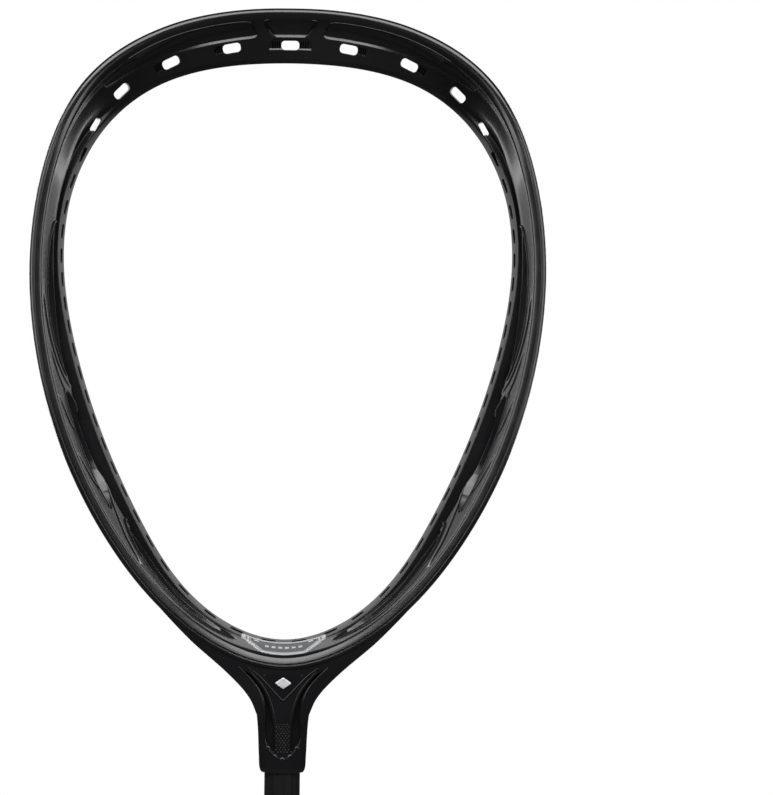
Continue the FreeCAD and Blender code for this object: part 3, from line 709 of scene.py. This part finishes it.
# y and how far the outline is drawn in, from in front of the throat to the channel's floor.
CHANNEL_LEVELS = ((-22.0, 0.9), (-15.66, 0.9), (-15.2, 0.0), (-14.2, -0.35), (-12.4, -1.1))
# Pockets in the collar's flanks: x, width, y from, to, height from, to, lower, upper radius.
FLANK_POCKETS = ((13.7, 30.0, -2.9, 3.3, 24.6, 49.5, 1.4, 2.6),
                 (12.6, 10.0, -3.1, 2.4, 2.4, 22.6, 1.0, 1.0))


def channel_cutter(side):
    outline = chaikin(CHANNEL)
    rings = []
    for y, draw in CHANNEL_LEVELS:
        ring = []
        for i, corner in enumerate(outline):
            along = outline[(i + 1) % len(outline)] - outline[i - 1]
            inward = np.array([-along[1], along[0]]) / max(1e-9, np.hypot(*along))
            x, height = corner + inward * draw
            # the lower end slopes up as the channel deepens
            height += clamp((21.0 - height) / 5.0) * max(0.0, (y + 15.66) / 3.3) * 3.4
            ring.append(point(-side * x, y, height))
        rings.append(ring)
    return skin(rings)


def flank_cutter(side, x, width, y_from, y_to, low, high, low_radius, high_radius):
    corners = [(y_from, low, low_radius), (y_to, low, low_radius),
               (y_to, high, high_radius), (y_from, high, high_radius)]
    return x_prism(rounded(corners), side * x, side * width)


boolean(head, *[channel_cutter(side) for side in (1, -1)])
boolean(head, *[flank_cutter(side, *pocket) for side in (1, -1) for pocket in FLANK_POCKETS])
# socket for the shaft
boolean(head, prism([point(x, y, -1.0) for x, y in octagon(TUBE_WIDTH, TUBE_DEPTH, TUBE_CHAMFER)],
                    (0, 0, 0.058)))
# screw counterbore and hole, then the cross hole through the heel
boolean(head, cylinder(3.8, 14.6, 34.6, SCREW_HEIGHT))
boolean(head, cylinder(SCREW_RADIUS, 6.0, 16.0, SCREW_HEIGHT))
boolean(head, cylinder(1.7, -30.0, 30.0, 62.6, y=25.2))
shade(head, 30.0)
attach(head, "stick", replaces="head_frame")

# ---- V bead and grip strip on the front of the throat -------------------
DIAMOND = ((-0.98, 0), (0, -1.44), (0.98, 0), (0, 1.44))   # x and height from its middle
# x, height and radius of the domes below the diamonds.
DOMES = ((0.0, 8.9, 1.9), (4.6, 11.0, 1.5), (-4.6, 11.0, 1.5), (8.9, 15.8, 1.7),
         (-8.9, 15.8, 1.7))
# Beads along the channel's edges, for the +X side: radius, path as (x, height).
EDGE_BEADS = (
    (0.55, ((27.6, 66.0), (19.9, 58.6), (15.2, 52.4), (12.8, 46.6), (11.9, 40.0), (11.5, 30.0),
            (11.0, 20.5), (8.9, 15.4), (4.6, 10.9), (0.0, 8.7))),
    (0.48, ((20.2, 63.2), (15.0, 57.6), (10.1, 51.2), (6.3, 41.2), (5.0, 34.6), (4.3, 30.0),
            (4.3, 13.0))),
)


def make_v_bead():
    half = [(-21.5, 65.6), (-17.0, 62.6), (-13.6, 59.6)]
    half += [(lerp(-13.6, -1.4, k / 8), lerp(59.6, 46.6, k / 8)) for k in range(1, 9)]
    half.append((0.0, 45.5))
    line = chaikin(half + [(-x, height) for x, height in reversed(half[:-1])], closed=False)
    points = [point(x, YOKE_FRONT - 0.12, height) for x, height in line]
    return shade(tube(points, 0.62, 14, "throat_bead"), 60)


v_bead = make_v_bead()
head_tree = BVHTree.FromPolygons([v.co.copy() for v in head.data.vertices],
                                 [tuple(f.vertices) for f in head.data.polygons])


def front_y(x, height, spread=0.0):
    """y of the head's front surface, the foremost of samples spread in x."""
    found = []
    for offset in ((0.0,) if spread == 0.0 else (-spread, 0.0, spread)):
        origin = Vector(point(x + offset, -60.0, height))
        hit = head_tree.ray_cast(origin, Vector((0.0, 1.0, 0.0)))[0]
        if hit is not None:
            found.append(hit.y / MM)
    return min(found, default=YOKE_FRONT)


def laid_bead(path, radius):
    """Round bead laid along a line on the throat's front surface."""
    line = chaikin(path, closed=False)
    surface = [min(front_y(x, height, 0.5), YOKE_FRONT + 4.0) for x, height in line]
    spans = [surface[max(0, i - 2):i + 3] for i in range(len(surface))]
    return tube([point(x, sum(span) / len(span) + 0.22, height)
                 for (x, height), span in zip(line, spans)], radius, 12)


def diamond(x, height):
    """Low four-sided pyramid."""
    y = front_y(x, height)
    return skin([[point(x + dx * scale, y + lift, height + dh * scale) for dx, dh in DIAMOND]
                 for scale, lift in ((1.0, 0.5), (0.08, -0.36))])


def dome(x, height, radius):
    base = front_y(x, height - 1.0, 0.6)
    rings = []
    for k in range(7):
        rise = math.radians(14.5 * k)
        reach = radius * math.cos(rise)
        y = base + 0.42 - (0.62 + 0.15 * radius) * math.sin(rise)
        rings.append([point(x + reach * math.cos(2 * math.pi * j / 20), y,
                            height + reach * math.sin(2 * math.pi * j / 20))
                      for j in range(20)])
    return skin(rings)


def make_grip_strip():
    parts = []
    for k in range(13):                       # alternate rows of four and five
        for j in range(5 if k % 2 else 4):
            x = (j - (2.0 if k % 2 else 1.5)) * 1.9
            parts.append(diamond(x, 13.6 + k * 1.42))
    parts += [dome(*spec) for spec in DOMES]
    parts += [laid_bead([(side * x, height) for x, height in path], radius)
              for side in (1, -1) for radius, path in EDGE_BEADS]
    return shade(join(parts, "throat_grip_strip"), 35)


grip_strip = make_grip_strip()

# ---- badge --------------------------------------------------------------
TRIANGLE = ((12.3, 61.4), (-12.3, 61.4), (0.0, 46.4))              # x, height
LOZENGE = ((5.2, 56.4), (0.0, 60.0), (-5.2, 56.4), (0.0, 52.8))


def inset_outline(outline, distance):
    """Anticlockwise outline drawn in by a distance."""
    outline = [np.array(p, float) for p in outline]
    out = []
    for i, corner in enumerate(outline):
        before, after = outline[i - 1], outline[(i + 1) % len(outline)]
        edge_in = (corner - before) / np.linalg.norm(corner - before)
        edge_out = (after - corner) / np.linalg.norm(after - corner)
        normal = np.array([-edge_in[1], edge_in[0]])
        mitre = normal + np.array([-edge_out[1], edge_out[0]])
        mitre /= np.linalg.norm(mitre)
        out.append(corner + mitre * distance / max(0.2, mitre @ normal))
    return out


def inlay(name, outline, radius, levels):
    """Bevelled plate; levels are (y from the yoke's front, inset)."""
    rings = []
    for lift, inset in levels:
        corners = [(x, height, radius) for x, height in inset_outline(outline, inset)]
        rings.append([point(x, YOKE_FRONT + lift, height) for x, height in rounded(corners)])
    return shade(skin(rings, name), 25)


badge = inlay("badge_inlay", TRIANGLE, 0.7,
              levels=((0.5, 0.0), (-0.25, 0.0), (-0.5, 0.25), (-0.58, 0.6)))
mark = inlay("badge_mark", LOZENGE, 0.8, levels=((-0.3, 0.0), (-0.72, 0.0), (-0.92, 0.3)))

# ---- label: nested plates on the throat's inner wall --------------------
# Name, inset of its edge, lift off the wall.
LABEL_PLATES = (("label_rim", -0.4, 0.50), ("label_gap", 1.7, 0.56), ("label_line", 2.3, 0.62),
                ("label_field", 3.4, 0.68))
LABEL_FRONT, LABEL_BACK = -12.0, 22.0
LABEL_BARS, LABEL_BAR_PITCH = 6, 5.0


def label_ring(offset, front, back, steps, sunk, lift):
    """Section of a label piece, at an arc offset from the bottom middle towards +X."""
    arc = LENGTH - abs(offset)
    row = station(arc)
    side = 1.0 if offset >= 0 else -1.0
    outline = section_outline(row, arc, throat_weight(arc))

    def wall_inset(y):
        hits = [lerp(p[0], q[0], (y - p[1]) / (q[1] - p[1]))
                for p, q in zip(outline[28:70], outline[29:71])
                if min(p[1], q[1]) - 1e-6 <= y <= max(p[1], q[1]) + 1e-6
                and abs(q[1] - p[1]) > 1e-6]
        return max(hits, default=row.rail_inset)

    levels = [lerp(front, back, k / steps) for k in range(steps + 1)]
    ring = [place(row, wall_inset(y) + sunk, y, side) for y in levels]
    return ring + [place(row, wall_inset(y) + lift, y, side) for y in reversed(levels)]


def label_plate(name, inset, lift):
    reach = 31.0 - inset * 1.5
    back = LABEL_BACK - inset
    rings = []
    for offset in np.linspace(-reach, reach, 63):
        taper = clamp((abs(offset) + inset * 0.4 - 16.5) / 14.5)
        front = min(LABEL_FRONT + inset + 29.0 * taper, back - 0.8)
        rings.append(label_ring(offset, front, back, 10, -0.3, lift))
    return shade(skin(rings, name), 40)


label_parts = [label_plate(*spec) for spec in LABEL_PLATES]
bars = [skin([label_ring((j - 2.5) * LABEL_BAR_PITCH + offset, 1.6, 6.0, 1, 0.3, 0.86)
              for offset in np.linspace(-1.45, 1.45, 5)]) for j in range(LABEL_BARS)]
label_bars = shade(join(bars, "label_bars"), 40)

# ---- fine beads round the scoop panels ----------------------------------
# Lines beside the long and the middle panel: arc, inset.
PANEL_EDGES = (((112.0, 7.9), (96.0, 7.7), (79.0, 7.6), (62.0, 7.6), (45.0, 7.6), (31.0, 7.6),
                (26.6, 7.9), (24.4, 10.0), (22.3, 12.8), (22.0, 14.6), (24.0, 16.0)),
               ((14.0, 7.3), (17.6, 7.6), (16.9, 9.2), (14.4, 12.0), (12.2, 14.6), (10.0, 16.0)))


def panel_bead(edge, side):
    line = []
    for arc, inset in chaikin(edge, 3, closed=False):
        row = station(arc)
        line.append(place(row, inset, inner_y(row, arc, inset) + 0.12, side))
    return tube(line, 0.42, 12)


scoop_beads = shade(join([panel_bead(edge, side) for side in (1, -1) for edge in PANEL_EDGES],
                         "scoop_panel_beads"), 60)


# ---- shaft --------------------------------------------------------------
def oct_ring(width, depth, chamfer, z, radius, segments=4):
    corners = [(x, y, radius) for x, y in octagon(width, depth, chamfer)]
    return [(x * MM, y * MM, z * MM) for x, y in rounded(corners, segments)]


def make_shaft():
    low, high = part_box("shaft_tube")
    bottom, top = low.z / MM, high.z / MM
    tube_size = (TUBE_WIDTH, TUBE_DEPTH, TUBE_CHAMFER)
    end_size = (21.4, 24.6, 6.2)
    bore_size = (19.2, 22.4, 5.5)
    bore_end_size = (19.6, 22.8, 5.7)
    levels = np.linspace(bottom + 20, top - 20, 24)
    # up the outside, then down the bore
    rings = [oct_ring(*end_size, bottom, 1.2), oct_ring(*tube_size, bottom + 0.5, 1.2)]
    rings += [oct_ring(*tube_size, z, 1.2) for z in levels]
    rings += [oct_ring(*tube_size, top - 0.5, 1.2), oct_ring(*end_size, top, 1.2),
              oct_ring(*bore_end_size, top, 1.0), oct_ring(*bore_size, top - 0.6, 1.0),
              oct_ring(*bore_size, bottom + 0.6, 1.0), oct_ring(*bore_end_size, bottom, 1.0)]
    shaft = skin(rings, "shaft_tube_shell", closed=True)
    boolean(shaft, cylinder(SCREW_RADIUS, 6.0, 16.0, SCREW_HEIGHT))
    return shade(shaft, 40)


shaft = make_shaft()
attach(shaft, "stick", replaces="shaft_tube")


# ---- end cap ------------------------------------------------------------
def make_cap():
    # how far the cap stands out from the tube, z
    profile = [(-2.6, 0.0), (-0.6, 0.05), (0.9, 0.7), (1.9, 1.9), (2.4, 3.6), (2.4, 6.0)]
    groove = ((2.4, 0.0), (2.25, 0.25), (1.75, 0.45), (1.75, 1.15), (2.25, 1.35), (2.4, 1.6))
    for k in range(5):
        profile += [(grow, 6.4 + k * 3.2 + rise) for grow, rise in groove]
    profile += [(2.4, 23.5), (2.25, 25.0), (1.8, 27.2), (1.35, 29.2), (1.1, 29.8), (0.8, 30.0),
                (0.4, 29.9), (0.06, 29.3)]
    rings = [oct_ring(TUBE_WIDTH + 2 * grow, TUBE_DEPTH + 2 * grow, 6.5 if grow < 1.3 else 7.4,
                      z, 3.0 if grow > 0.5 else 1.6, 5) for grow, z in profile]
    # inside, down to the floor of the cap
    rings += [oct_ring(TUBE_WIDTH + gap, TUBE_DEPTH + gap, TUBE_CHAMFER, z, 1.2, 5)
              for gap, z in ((0.1, 4.6), (0.0, 4.02))]
    return shade(skin(rings, "butt_cap_shell"), 50)


cap = make_cap()
attach(cap, "end_cap", replaces="butt_end_cap")
for obj in (v_bead, grip_strip, scoop_beads):
    attach(obj, "stick")
attach(badge, "stick", replaces="throat_badge")
attach(mark, "stick")
for obj in label_parts + [label_bars]:
    attach(obj, "stick")
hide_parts("throat_label")


# ---- materials (lengths in metres) --------------------------------------
def add_node(tree, kind, inputs=None, **settings):
    """New node; inputs map a socket's name or index to a value or a socket to link."""
    node = tree.nodes.new(kind)
    for key, value in settings.items():
        setattr(node, key, value)
    for key, value in (inputs or {}).items():
        if isinstance(value, bpy.types.NodeSocket):
            tree.links.new(value, node.inputs[key])
        else:
            node.inputs[key].default_value = value
    return node


class Mat:
    """A principled material textured in object space."""

    def __init__(self, name):
        self.material = bpy.data.materials.new(name)
        self.material.use_nodes = True
        self.tree = self.material.node_tree
        self.tree.nodes.clear()
        self.shader = self.node("ShaderNodeBsdfPrincipled")
        self.output = self.node("ShaderNodeOutputMaterial", {0: self.shader.outputs[0]})
        self.coords = self.node("ShaderNodeTexCoord").outputs["Object"]

    def node(self, kind, inputs=None, **settings):
        return add_node(self.tree, kind, inputs, **settings)

    def math(self, operation, first, second=0.0):
        return self.node("ShaderNodeMath", {0: first, 1: second}, operation=operation).outputs[0]

    def times(self, first, second):
        return self.math("MULTIPLY", first, second)

    def plus(self, first, second):
        return self.math("ADD", first, second)

    def vector(self, operation, *values):
        return self.node("ShaderNodeVectorMath", dict(enumerate(values)), operation=operation)

    def noise(self, scale, detail=3.0, rough=0.5, stretch=None):
        coords = self.coords
        if stretch:
            coords = self.node("ShaderNodeMapping", {"Vector": coords, "Scale": stretch}).outputs[0]
        return self.node("ShaderNodeTexNoise", {"Vector": coords, "Scale": scale,
                                                "Detail": detail, "Roughness": rough}).outputs[0]

    def remap(self, value, span=(0.3, 0.7), out=(0.0, 1.0)):
        return self.node("ShaderNodeMapRange", {0: value, 1: span[0], 2: span[1],
                                                3: out[0], 4: out[1]}).outputs[0]

    def mottle(self, value, dark, light, span=(0.3, 0.7)):
        """Colour running from dark to light as the value crosses the span."""
        inputs = {0: self.remap(value, span), 6: (*dark, 1.0), 7: (*light, 1.0)}
        return self.node("ShaderNodeMix", inputs, data_type="RGBA").outputs[2]

    def bump(self, height, strength, distance=0.0002, normal=None):
        inputs = {"Height": height, "Strength": strength, "Distance": distance}
        if normal is not None:
            inputs["Normal"] = normal
        return self.node("ShaderNodeBump", inputs).outputs[0]

    def set(self, **values):
        for key, value in values.items():
            socket = self.shader.inputs[key.replace("_", " ")]
            if isinstance(value, bpy.types.NodeSocket):
                self.tree.links.new(value, socket)
            else:
                socket.default_value = value


def knurl(mat, x, y, z, normal):
    """Diamond knurl's relief and mask: outer faces of the upper side walls, back of the collar."""
    turn = 2 * math.pi / 0.0021               # ridge pitch 2.1 mm
    middle, collar_z = 1.037, Z_MOUTH * MM
    rising = mat.math("SINE", mat.times(mat.plus(z, y), turn))
    falling = mat.math("SINE", mat.times(mat.math("SUBTRACT", z, y), turn))
    ridges = mat.times(rising, falling)
    upper = mat.times(mat.remap(z, span=(middle - 0.030, middle + 0.030)),
                      mat.remap(z, span=(1.172, 1.160)))
    band = mat.times(mat.remap(y, span=(-0.001, 0.003)), mat.remap(y, span=(0.0155, 0.0115)))
    normal_x = mat.node("ShaderNodeSeparateXYZ", {"Vector": normal}).outputs[0]
    outward = mat.remap(mat.times(normal_x, mat.math("SIGN", x)), span=(0.15, 0.35))
    side = mat.times(mat.times(upper, band), outward)
    low = mat.times(mat.remap(z, span=(collar_z + 0.002, collar_z + 0.008)),
                    mat.remap(z, span=(collar_z + 0.037, collar_z + 0.029)))
    back = mat.times(low, mat.remap(y, span=(0.0015, 0.0095)))
    mask = mat.math("MAXIMUM", side, mat.times(back, 0.38))
    return mat.times(ridges, mask), mask


def satin_and_shade_mask(mat, y, z, normal):
    """Mask of the hoop's faces that look towards its middle; they get rougher, and a painted shade
    that dims their shine.
    """
    away = mat.vector("ADD", mat.coords, (0.0, 0.0, -0.955)).outputs[0]
    flat = mat.vector("MULTIPLY", away, (1.0, 0.0, 1.0)).outputs[0]
    unit = mat.vector("NORMALIZE", flat).outputs[0]
    facing = mat.vector("DOT_PRODUCT", unit, normal).outputs["Value"]
    inward = mat.times(mat.remap(facing, span=(-0.20, -0.60)),
                       mat.remap(y, span=(-0.011, -0.005)))
    return mat.times(inward, mat.times(mat.remap(z, span=(1.145, 1.100)),
                                       mat.remap(z, span=(0.795, 0.830))))


def moulded_nylon():
    mat = Mat("moulded_nylon")
    x, y, z = mat.node("ShaderNodeSeparateXYZ", {"Vector": mat.coords}).outputs
    normal = mat.node("ShaderNodeNewGeometry").outputs["Normal"]
    clouds = mat.noise(scale=18.0)
    grain = mat.noise(scale=420.0, detail=2.0)
    ripple = mat.noise(scale=90.0)
    scratches = mat.noise(scale=60.0, detail=6.0, rough=0.7, stretch=(1.0, 1.0, 9.0))
    rough = mat.plus(mat.remap(ripple, out=(0.185, 0.250)),
                     mat.remap(scratches, span=(0.55, 0.75), out=(0.0, 0.07)))
    height = mat.plus(mat.times(grain, 0.35), mat.times(ripple, 0.65))
    soft_edges = mat.node("ShaderNodeBevel", {"Radius": 0.00055}, samples=8).outputs[0]
    relief = mat.bump(height, strength=0.03, distance=0.0003, normal=soft_edges)
    knurl_height, knurl_mask = knurl(mat, x, y, z, normal)
    relief = mat.bump(knurl_height, strength=0.8, distance=0.00036, normal=relief)
    rough = mat.plus(rough, mat.times(knurl_mask, 0.05))
    # painted shade: ambient occlusion dims the shine in hollows
    cavity_shade_ao = mat.node("ShaderNodeAmbientOcclusion", {"Distance": 0.008}, samples=8)
    specular = mat.remap(cavity_shade_ao.outputs["AO"], span=(0.15, 0.90), out=(0.16, 0.60))
    # painted shade: faces that look towards the hoop's middle shine less; they are also rougher
    satin_and_shade = satin_and_shade_mask(mat, y, z, normal)
    specular = mat.times(specular, mat.remap(satin_and_shade, span=(0.0, 1.0), out=(1.0, 0.38)))
    rough = mat.plus(rough, mat.times(satin_and_shade, 0.08))
    mat.set(Base_Color=mat.mottle(clouds, dark=(0.0060, 0.0060, 0.0070),
                                  light=(0.0100, 0.0098, 0.0108), span=(0.35, 0.65)),
            Roughness=rough, Normal=relief, Specular_IOR_Level=specular, IOR=1.5,
            Coat_Weight=0.10, Coat_Roughness=0.12)
    return mat.material


def badge_gloss():
    mat = Mat("badge_gloss")
    grain = mat.noise(scale=300.0)
    mat.set(Base_Color=mat.mottle(mat.noise(scale=40.0), dark=(0.006, 0.006, 0.007),
                                  light=(0.010, 0.010, 0.011)),
            Roughness=mat.remap(grain, out=(0.06, 0.13)),
            Normal=mat.bump(grain, strength=0.05), Coat_Weight=0.6, Coat_Roughness=0.03)
    return mat.material


def brushed(name, scale, stretch_x, dark, light, rough):
    """Label finish with brush marks along X."""
    mat = Mat(name)
    marks = mat.noise(scale=scale, detail=4.0, rough=0.6, stretch=(stretch_x, 1.0, 1.0))
    mat.set(Base_Color=mat.mottle(marks, dark, light), Metallic=0.25,
            Roughness=mat.remap(marks, out=rough), Normal=mat.bump(marks, strength=0.06))
    return mat.material


def anodised_tube():
    mat = Mat("anodised_tube")
    grain = mat.noise(scale=260.0, detail=5.0, rough=0.6, stretch=(1.0, 1.0, 0.02))
    wear = mat.noise(scale=24.0, detail=5.0, rough=0.65)
    speckle = mat.noise(scale=1500.0, detail=2.0)
    mat.set(Base_Color=mat.mottle(grain, dark=(0.020, 0.020, 0.022), light=(0.032, 0.032, 0.034)),
            Metallic=0.6,
            Roughness=mat.plus(mat.remap(grain, out=(0.30, 0.42)),
                               mat.remap(wear, span=(0.5, 0.7), out=(0.0, 0.06))),
            Normal=mat.bump(mat.plus(grain, mat.times(speckle, 0.5)), strength=0.08))
    return mat.material


def cap_rubber():
    mat = Mat("cap_rubber_mat")
    grain = mat.noise(scale=700.0, detail=4.0, rough=0.6)
    dust = mat.noise(scale=30.0, detail=5.0, rough=0.6)
    mat.set(Base_Color=mat.mottle(dust, dark=(0.014, 0.014, 0.014), light=(0.030, 0.029, 0.028),
                                  span=(0.35, 0.7)),
            Roughness=mat.remap(grain, out=(0.62, 0.82)),
            Normal=mat.bump(grain, strength=0.35, distance=0.0003), Specular_IOR_Level=0.35)
    return mat.material


def screw_black_oxide():
    mat = Mat("screw_black_oxide")
    grain = mat.noise(scale=900.0, detail=4.0, rough=0.6)
    mat.set(Base_Color=mat.mottle(grain, dark=(0.05, 0.05, 0.052), light=(0.11, 0.108, 0.105)),
            Metallic=0.9, Roughness=mat.remap(grain, out=(0.24, 0.42)),
            Normal=mat.bump(grain, strength=0.1))
    return mat.material


def floor_pale():
    """Pale floor fading to white for the camera, and dark to all other rays."""
    mat = Mat("floor_pale")
    mat.set(Base_Color=mat.mottle(mat.noise(scale=3.0), dark=(0.86, 0.86, 0.86),
                                  light=(0.90, 0.90, 0.90)), Roughness=0.6)
    dark = mat.node("ShaderNodeBsdfDiffuse", {"Color": (0.10, 0.10, 0.10, 1.0)})
    glow = mat.node("ShaderNodeEmission", {"Color": (1.0, 1.0, 1.0, 1.0), "Strength": 1.0})
    radius = mat.vector("LENGTH", mat.coords).outputs["Value"]
    seen = mat.node("ShaderNodeMixShader", {0: mat.remap(radius, span=(0.15, 0.95)),
                                            1: mat.shader.outputs[0], 2: glow.outputs[0]})
    camera_ray = mat.node("ShaderNodeLightPath").outputs["Is Camera Ray"]
    mixed = mat.node("ShaderNodeMixShader", {0: camera_ray, 1: dark.outputs[0],
                                             2: seen.outputs[0]})
    mat.tree.links.new(mixed.outputs[0], mat.output.inputs[0])
    return mat.material


black = moulded_nylon()
head.data.materials.clear()
for obj in (head, v_bead, grip_strip, scoop_beads):
    obj.data.materials.append(black)
badge.data.materials.append(badge_gloss())
silver = brushed("label_silver", scale=500.0, stretch_x=0.15, dark=(0.70, 0.71, 0.73),
                 light=(0.86, 0.87, 0.89), rough=(0.22, 0.38))
charcoal = brushed("label_dark", scale=420.0, stretch_x=0.12, dark=(0.045, 0.047, 0.050),
                   light=(0.085, 0.088, 0.094), rough=(0.25, 0.40))
for obj, material in zip(label_parts + [label_bars, mark],
                         (silver, charcoal, silver, charcoal, silver, silver)):
    obj.data.materials.append(material)
shaft.data.materials.clear()
shaft.data.materials.append(anodised_tube())
cap.data.materials.append(cap_rubber())
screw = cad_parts["head_screw"]
screw.data.materials.clear()
screw.data.materials.append(screw_black_oxide())

# ---- floor, camera and light (metres and watts) -------------------------
FLOOR_RADIUS, FLOOR_Z, FLOOR_SEGMENTS = 1.25, -0.0292, 96
CAMERA_DISTANCE = 0.800
CAMERA_ROLL = -0.01124                        # radians about the line of sight
# Name, location, height it aims at on the stick's axis, width, length, power.
LIGHTS = (
    ("key_left", (-1.4, -1.25, 1.5), 0.95, 0.8, 1.6, 15),
    ("fill_right", (1.45, -1.2, 1.35), 0.95, 0.75, 1.6, 13),
    ("top", (0.0, -1.45, 2.15), 0.85, 1.5, 1.0, 28),
    ("back_left", (-1.3, 1.3, 1.3), 0.9, 0.5, 1.6, 15),
    ("back_right", (1.3, 1.3, 1.3), 0.9, 0.5, 1.6, 15),
)


def make_floor():
    angles = [2 * math.pi * k / FLOOR_SEGMENTS for k in range(FLOOR_SEGMENTS)]
    floor = new_object("floor", [(FLOOR_RADIUS * math.cos(angle), FLOOR_RADIUS * math.sin(angle),
                                  FLOOR_Z) for angle in angles], [tuple(range(FLOOR_SEGMENTS))])
    floor.data.materials.append(floor_pale())


def make_camera():
    data = bpy.data.cameras.new("camera")
    camera = bpy.data.objects.new("camera", data)
    bpy.context.scene.collection.objects.link(camera)
    data.sensor_width = 36.0
    data.lens = 57.72214
    data.shift_x = 0.12603774
    data.shift_y = 0.00943396
    data.clip_start = 0.01
    data.clip_end = 50.0
    camera.location = (0.0, -CAMERA_DISTANCE, (Z_MOUTH + 227.5) * MM)
    camera.rotation_euler = (math.pi / 2, CAMERA_ROLL, 0.0)
    bpy.context.scene.camera = camera


def make_world():
    """White to the camera; otherwise dim, and brighter behind the head (+Y)."""
    world = bpy.data.worlds.new("world")
    bpy.context.scene.world = world
    world.use_nodes = True
    tree = world.node_tree
    tree.nodes.clear()
    coords = add_node(tree, "ShaderNodeTexCoord").outputs["Generated"]
    direction = add_node(tree, "ShaderNodeSeparateXYZ", {0: coords})
    # y of the direction from 0.72 to 0.93 gives strength from 0.045 to 0.55
    strength = add_node(tree, "ShaderNodeMapRange", {0: direction.outputs[1], 1: 0.72, 2: 0.93,
                                                     3: 0.045, 4: 0.55}).outputs[0]
    dim = add_node(tree, "ShaderNodeBackground", {"Color": (1, 1, 1, 1), "Strength": strength})
    white = add_node(tree, "ShaderNodeBackground", {"Color": (1, 1, 1, 1), "Strength": 1.0})
    camera_ray = add_node(tree, "ShaderNodeLightPath").outputs["Is Camera Ray"]
    mixed = add_node(tree, "ShaderNodeMixShader", {0: camera_ray, 1: dim.outputs[0],
                                                   2: white.outputs[0]})
    add_node(tree, "ShaderNodeOutputWorld", {0: mixed.outputs[0]})


def area_light(name, location, aim_z, width, length, power):
    data = bpy.data.lights.new(name, "AREA")
    data.energy = power
    data.shape = "RECTANGLE"
    data.size = width
    data.size_y = length
    light = bpy.data.objects.new(name, data)
    bpy.context.scene.collection.objects.link(light)
    light.location = location
    aim = Vector((0, 0, aim_z)) - Vector(location)
    light.rotation_euler = aim.to_track_quat("-Z", "Y").to_euler()
    light.visible_camera = False


make_floor()
make_camera()
make_world()
for spec in LIGHTS:
    area_light(*spec)
view = bpy.context.scene.view_settings
view.view_transform = "Standard"
view.look = "None"
view.exposure = 0.0
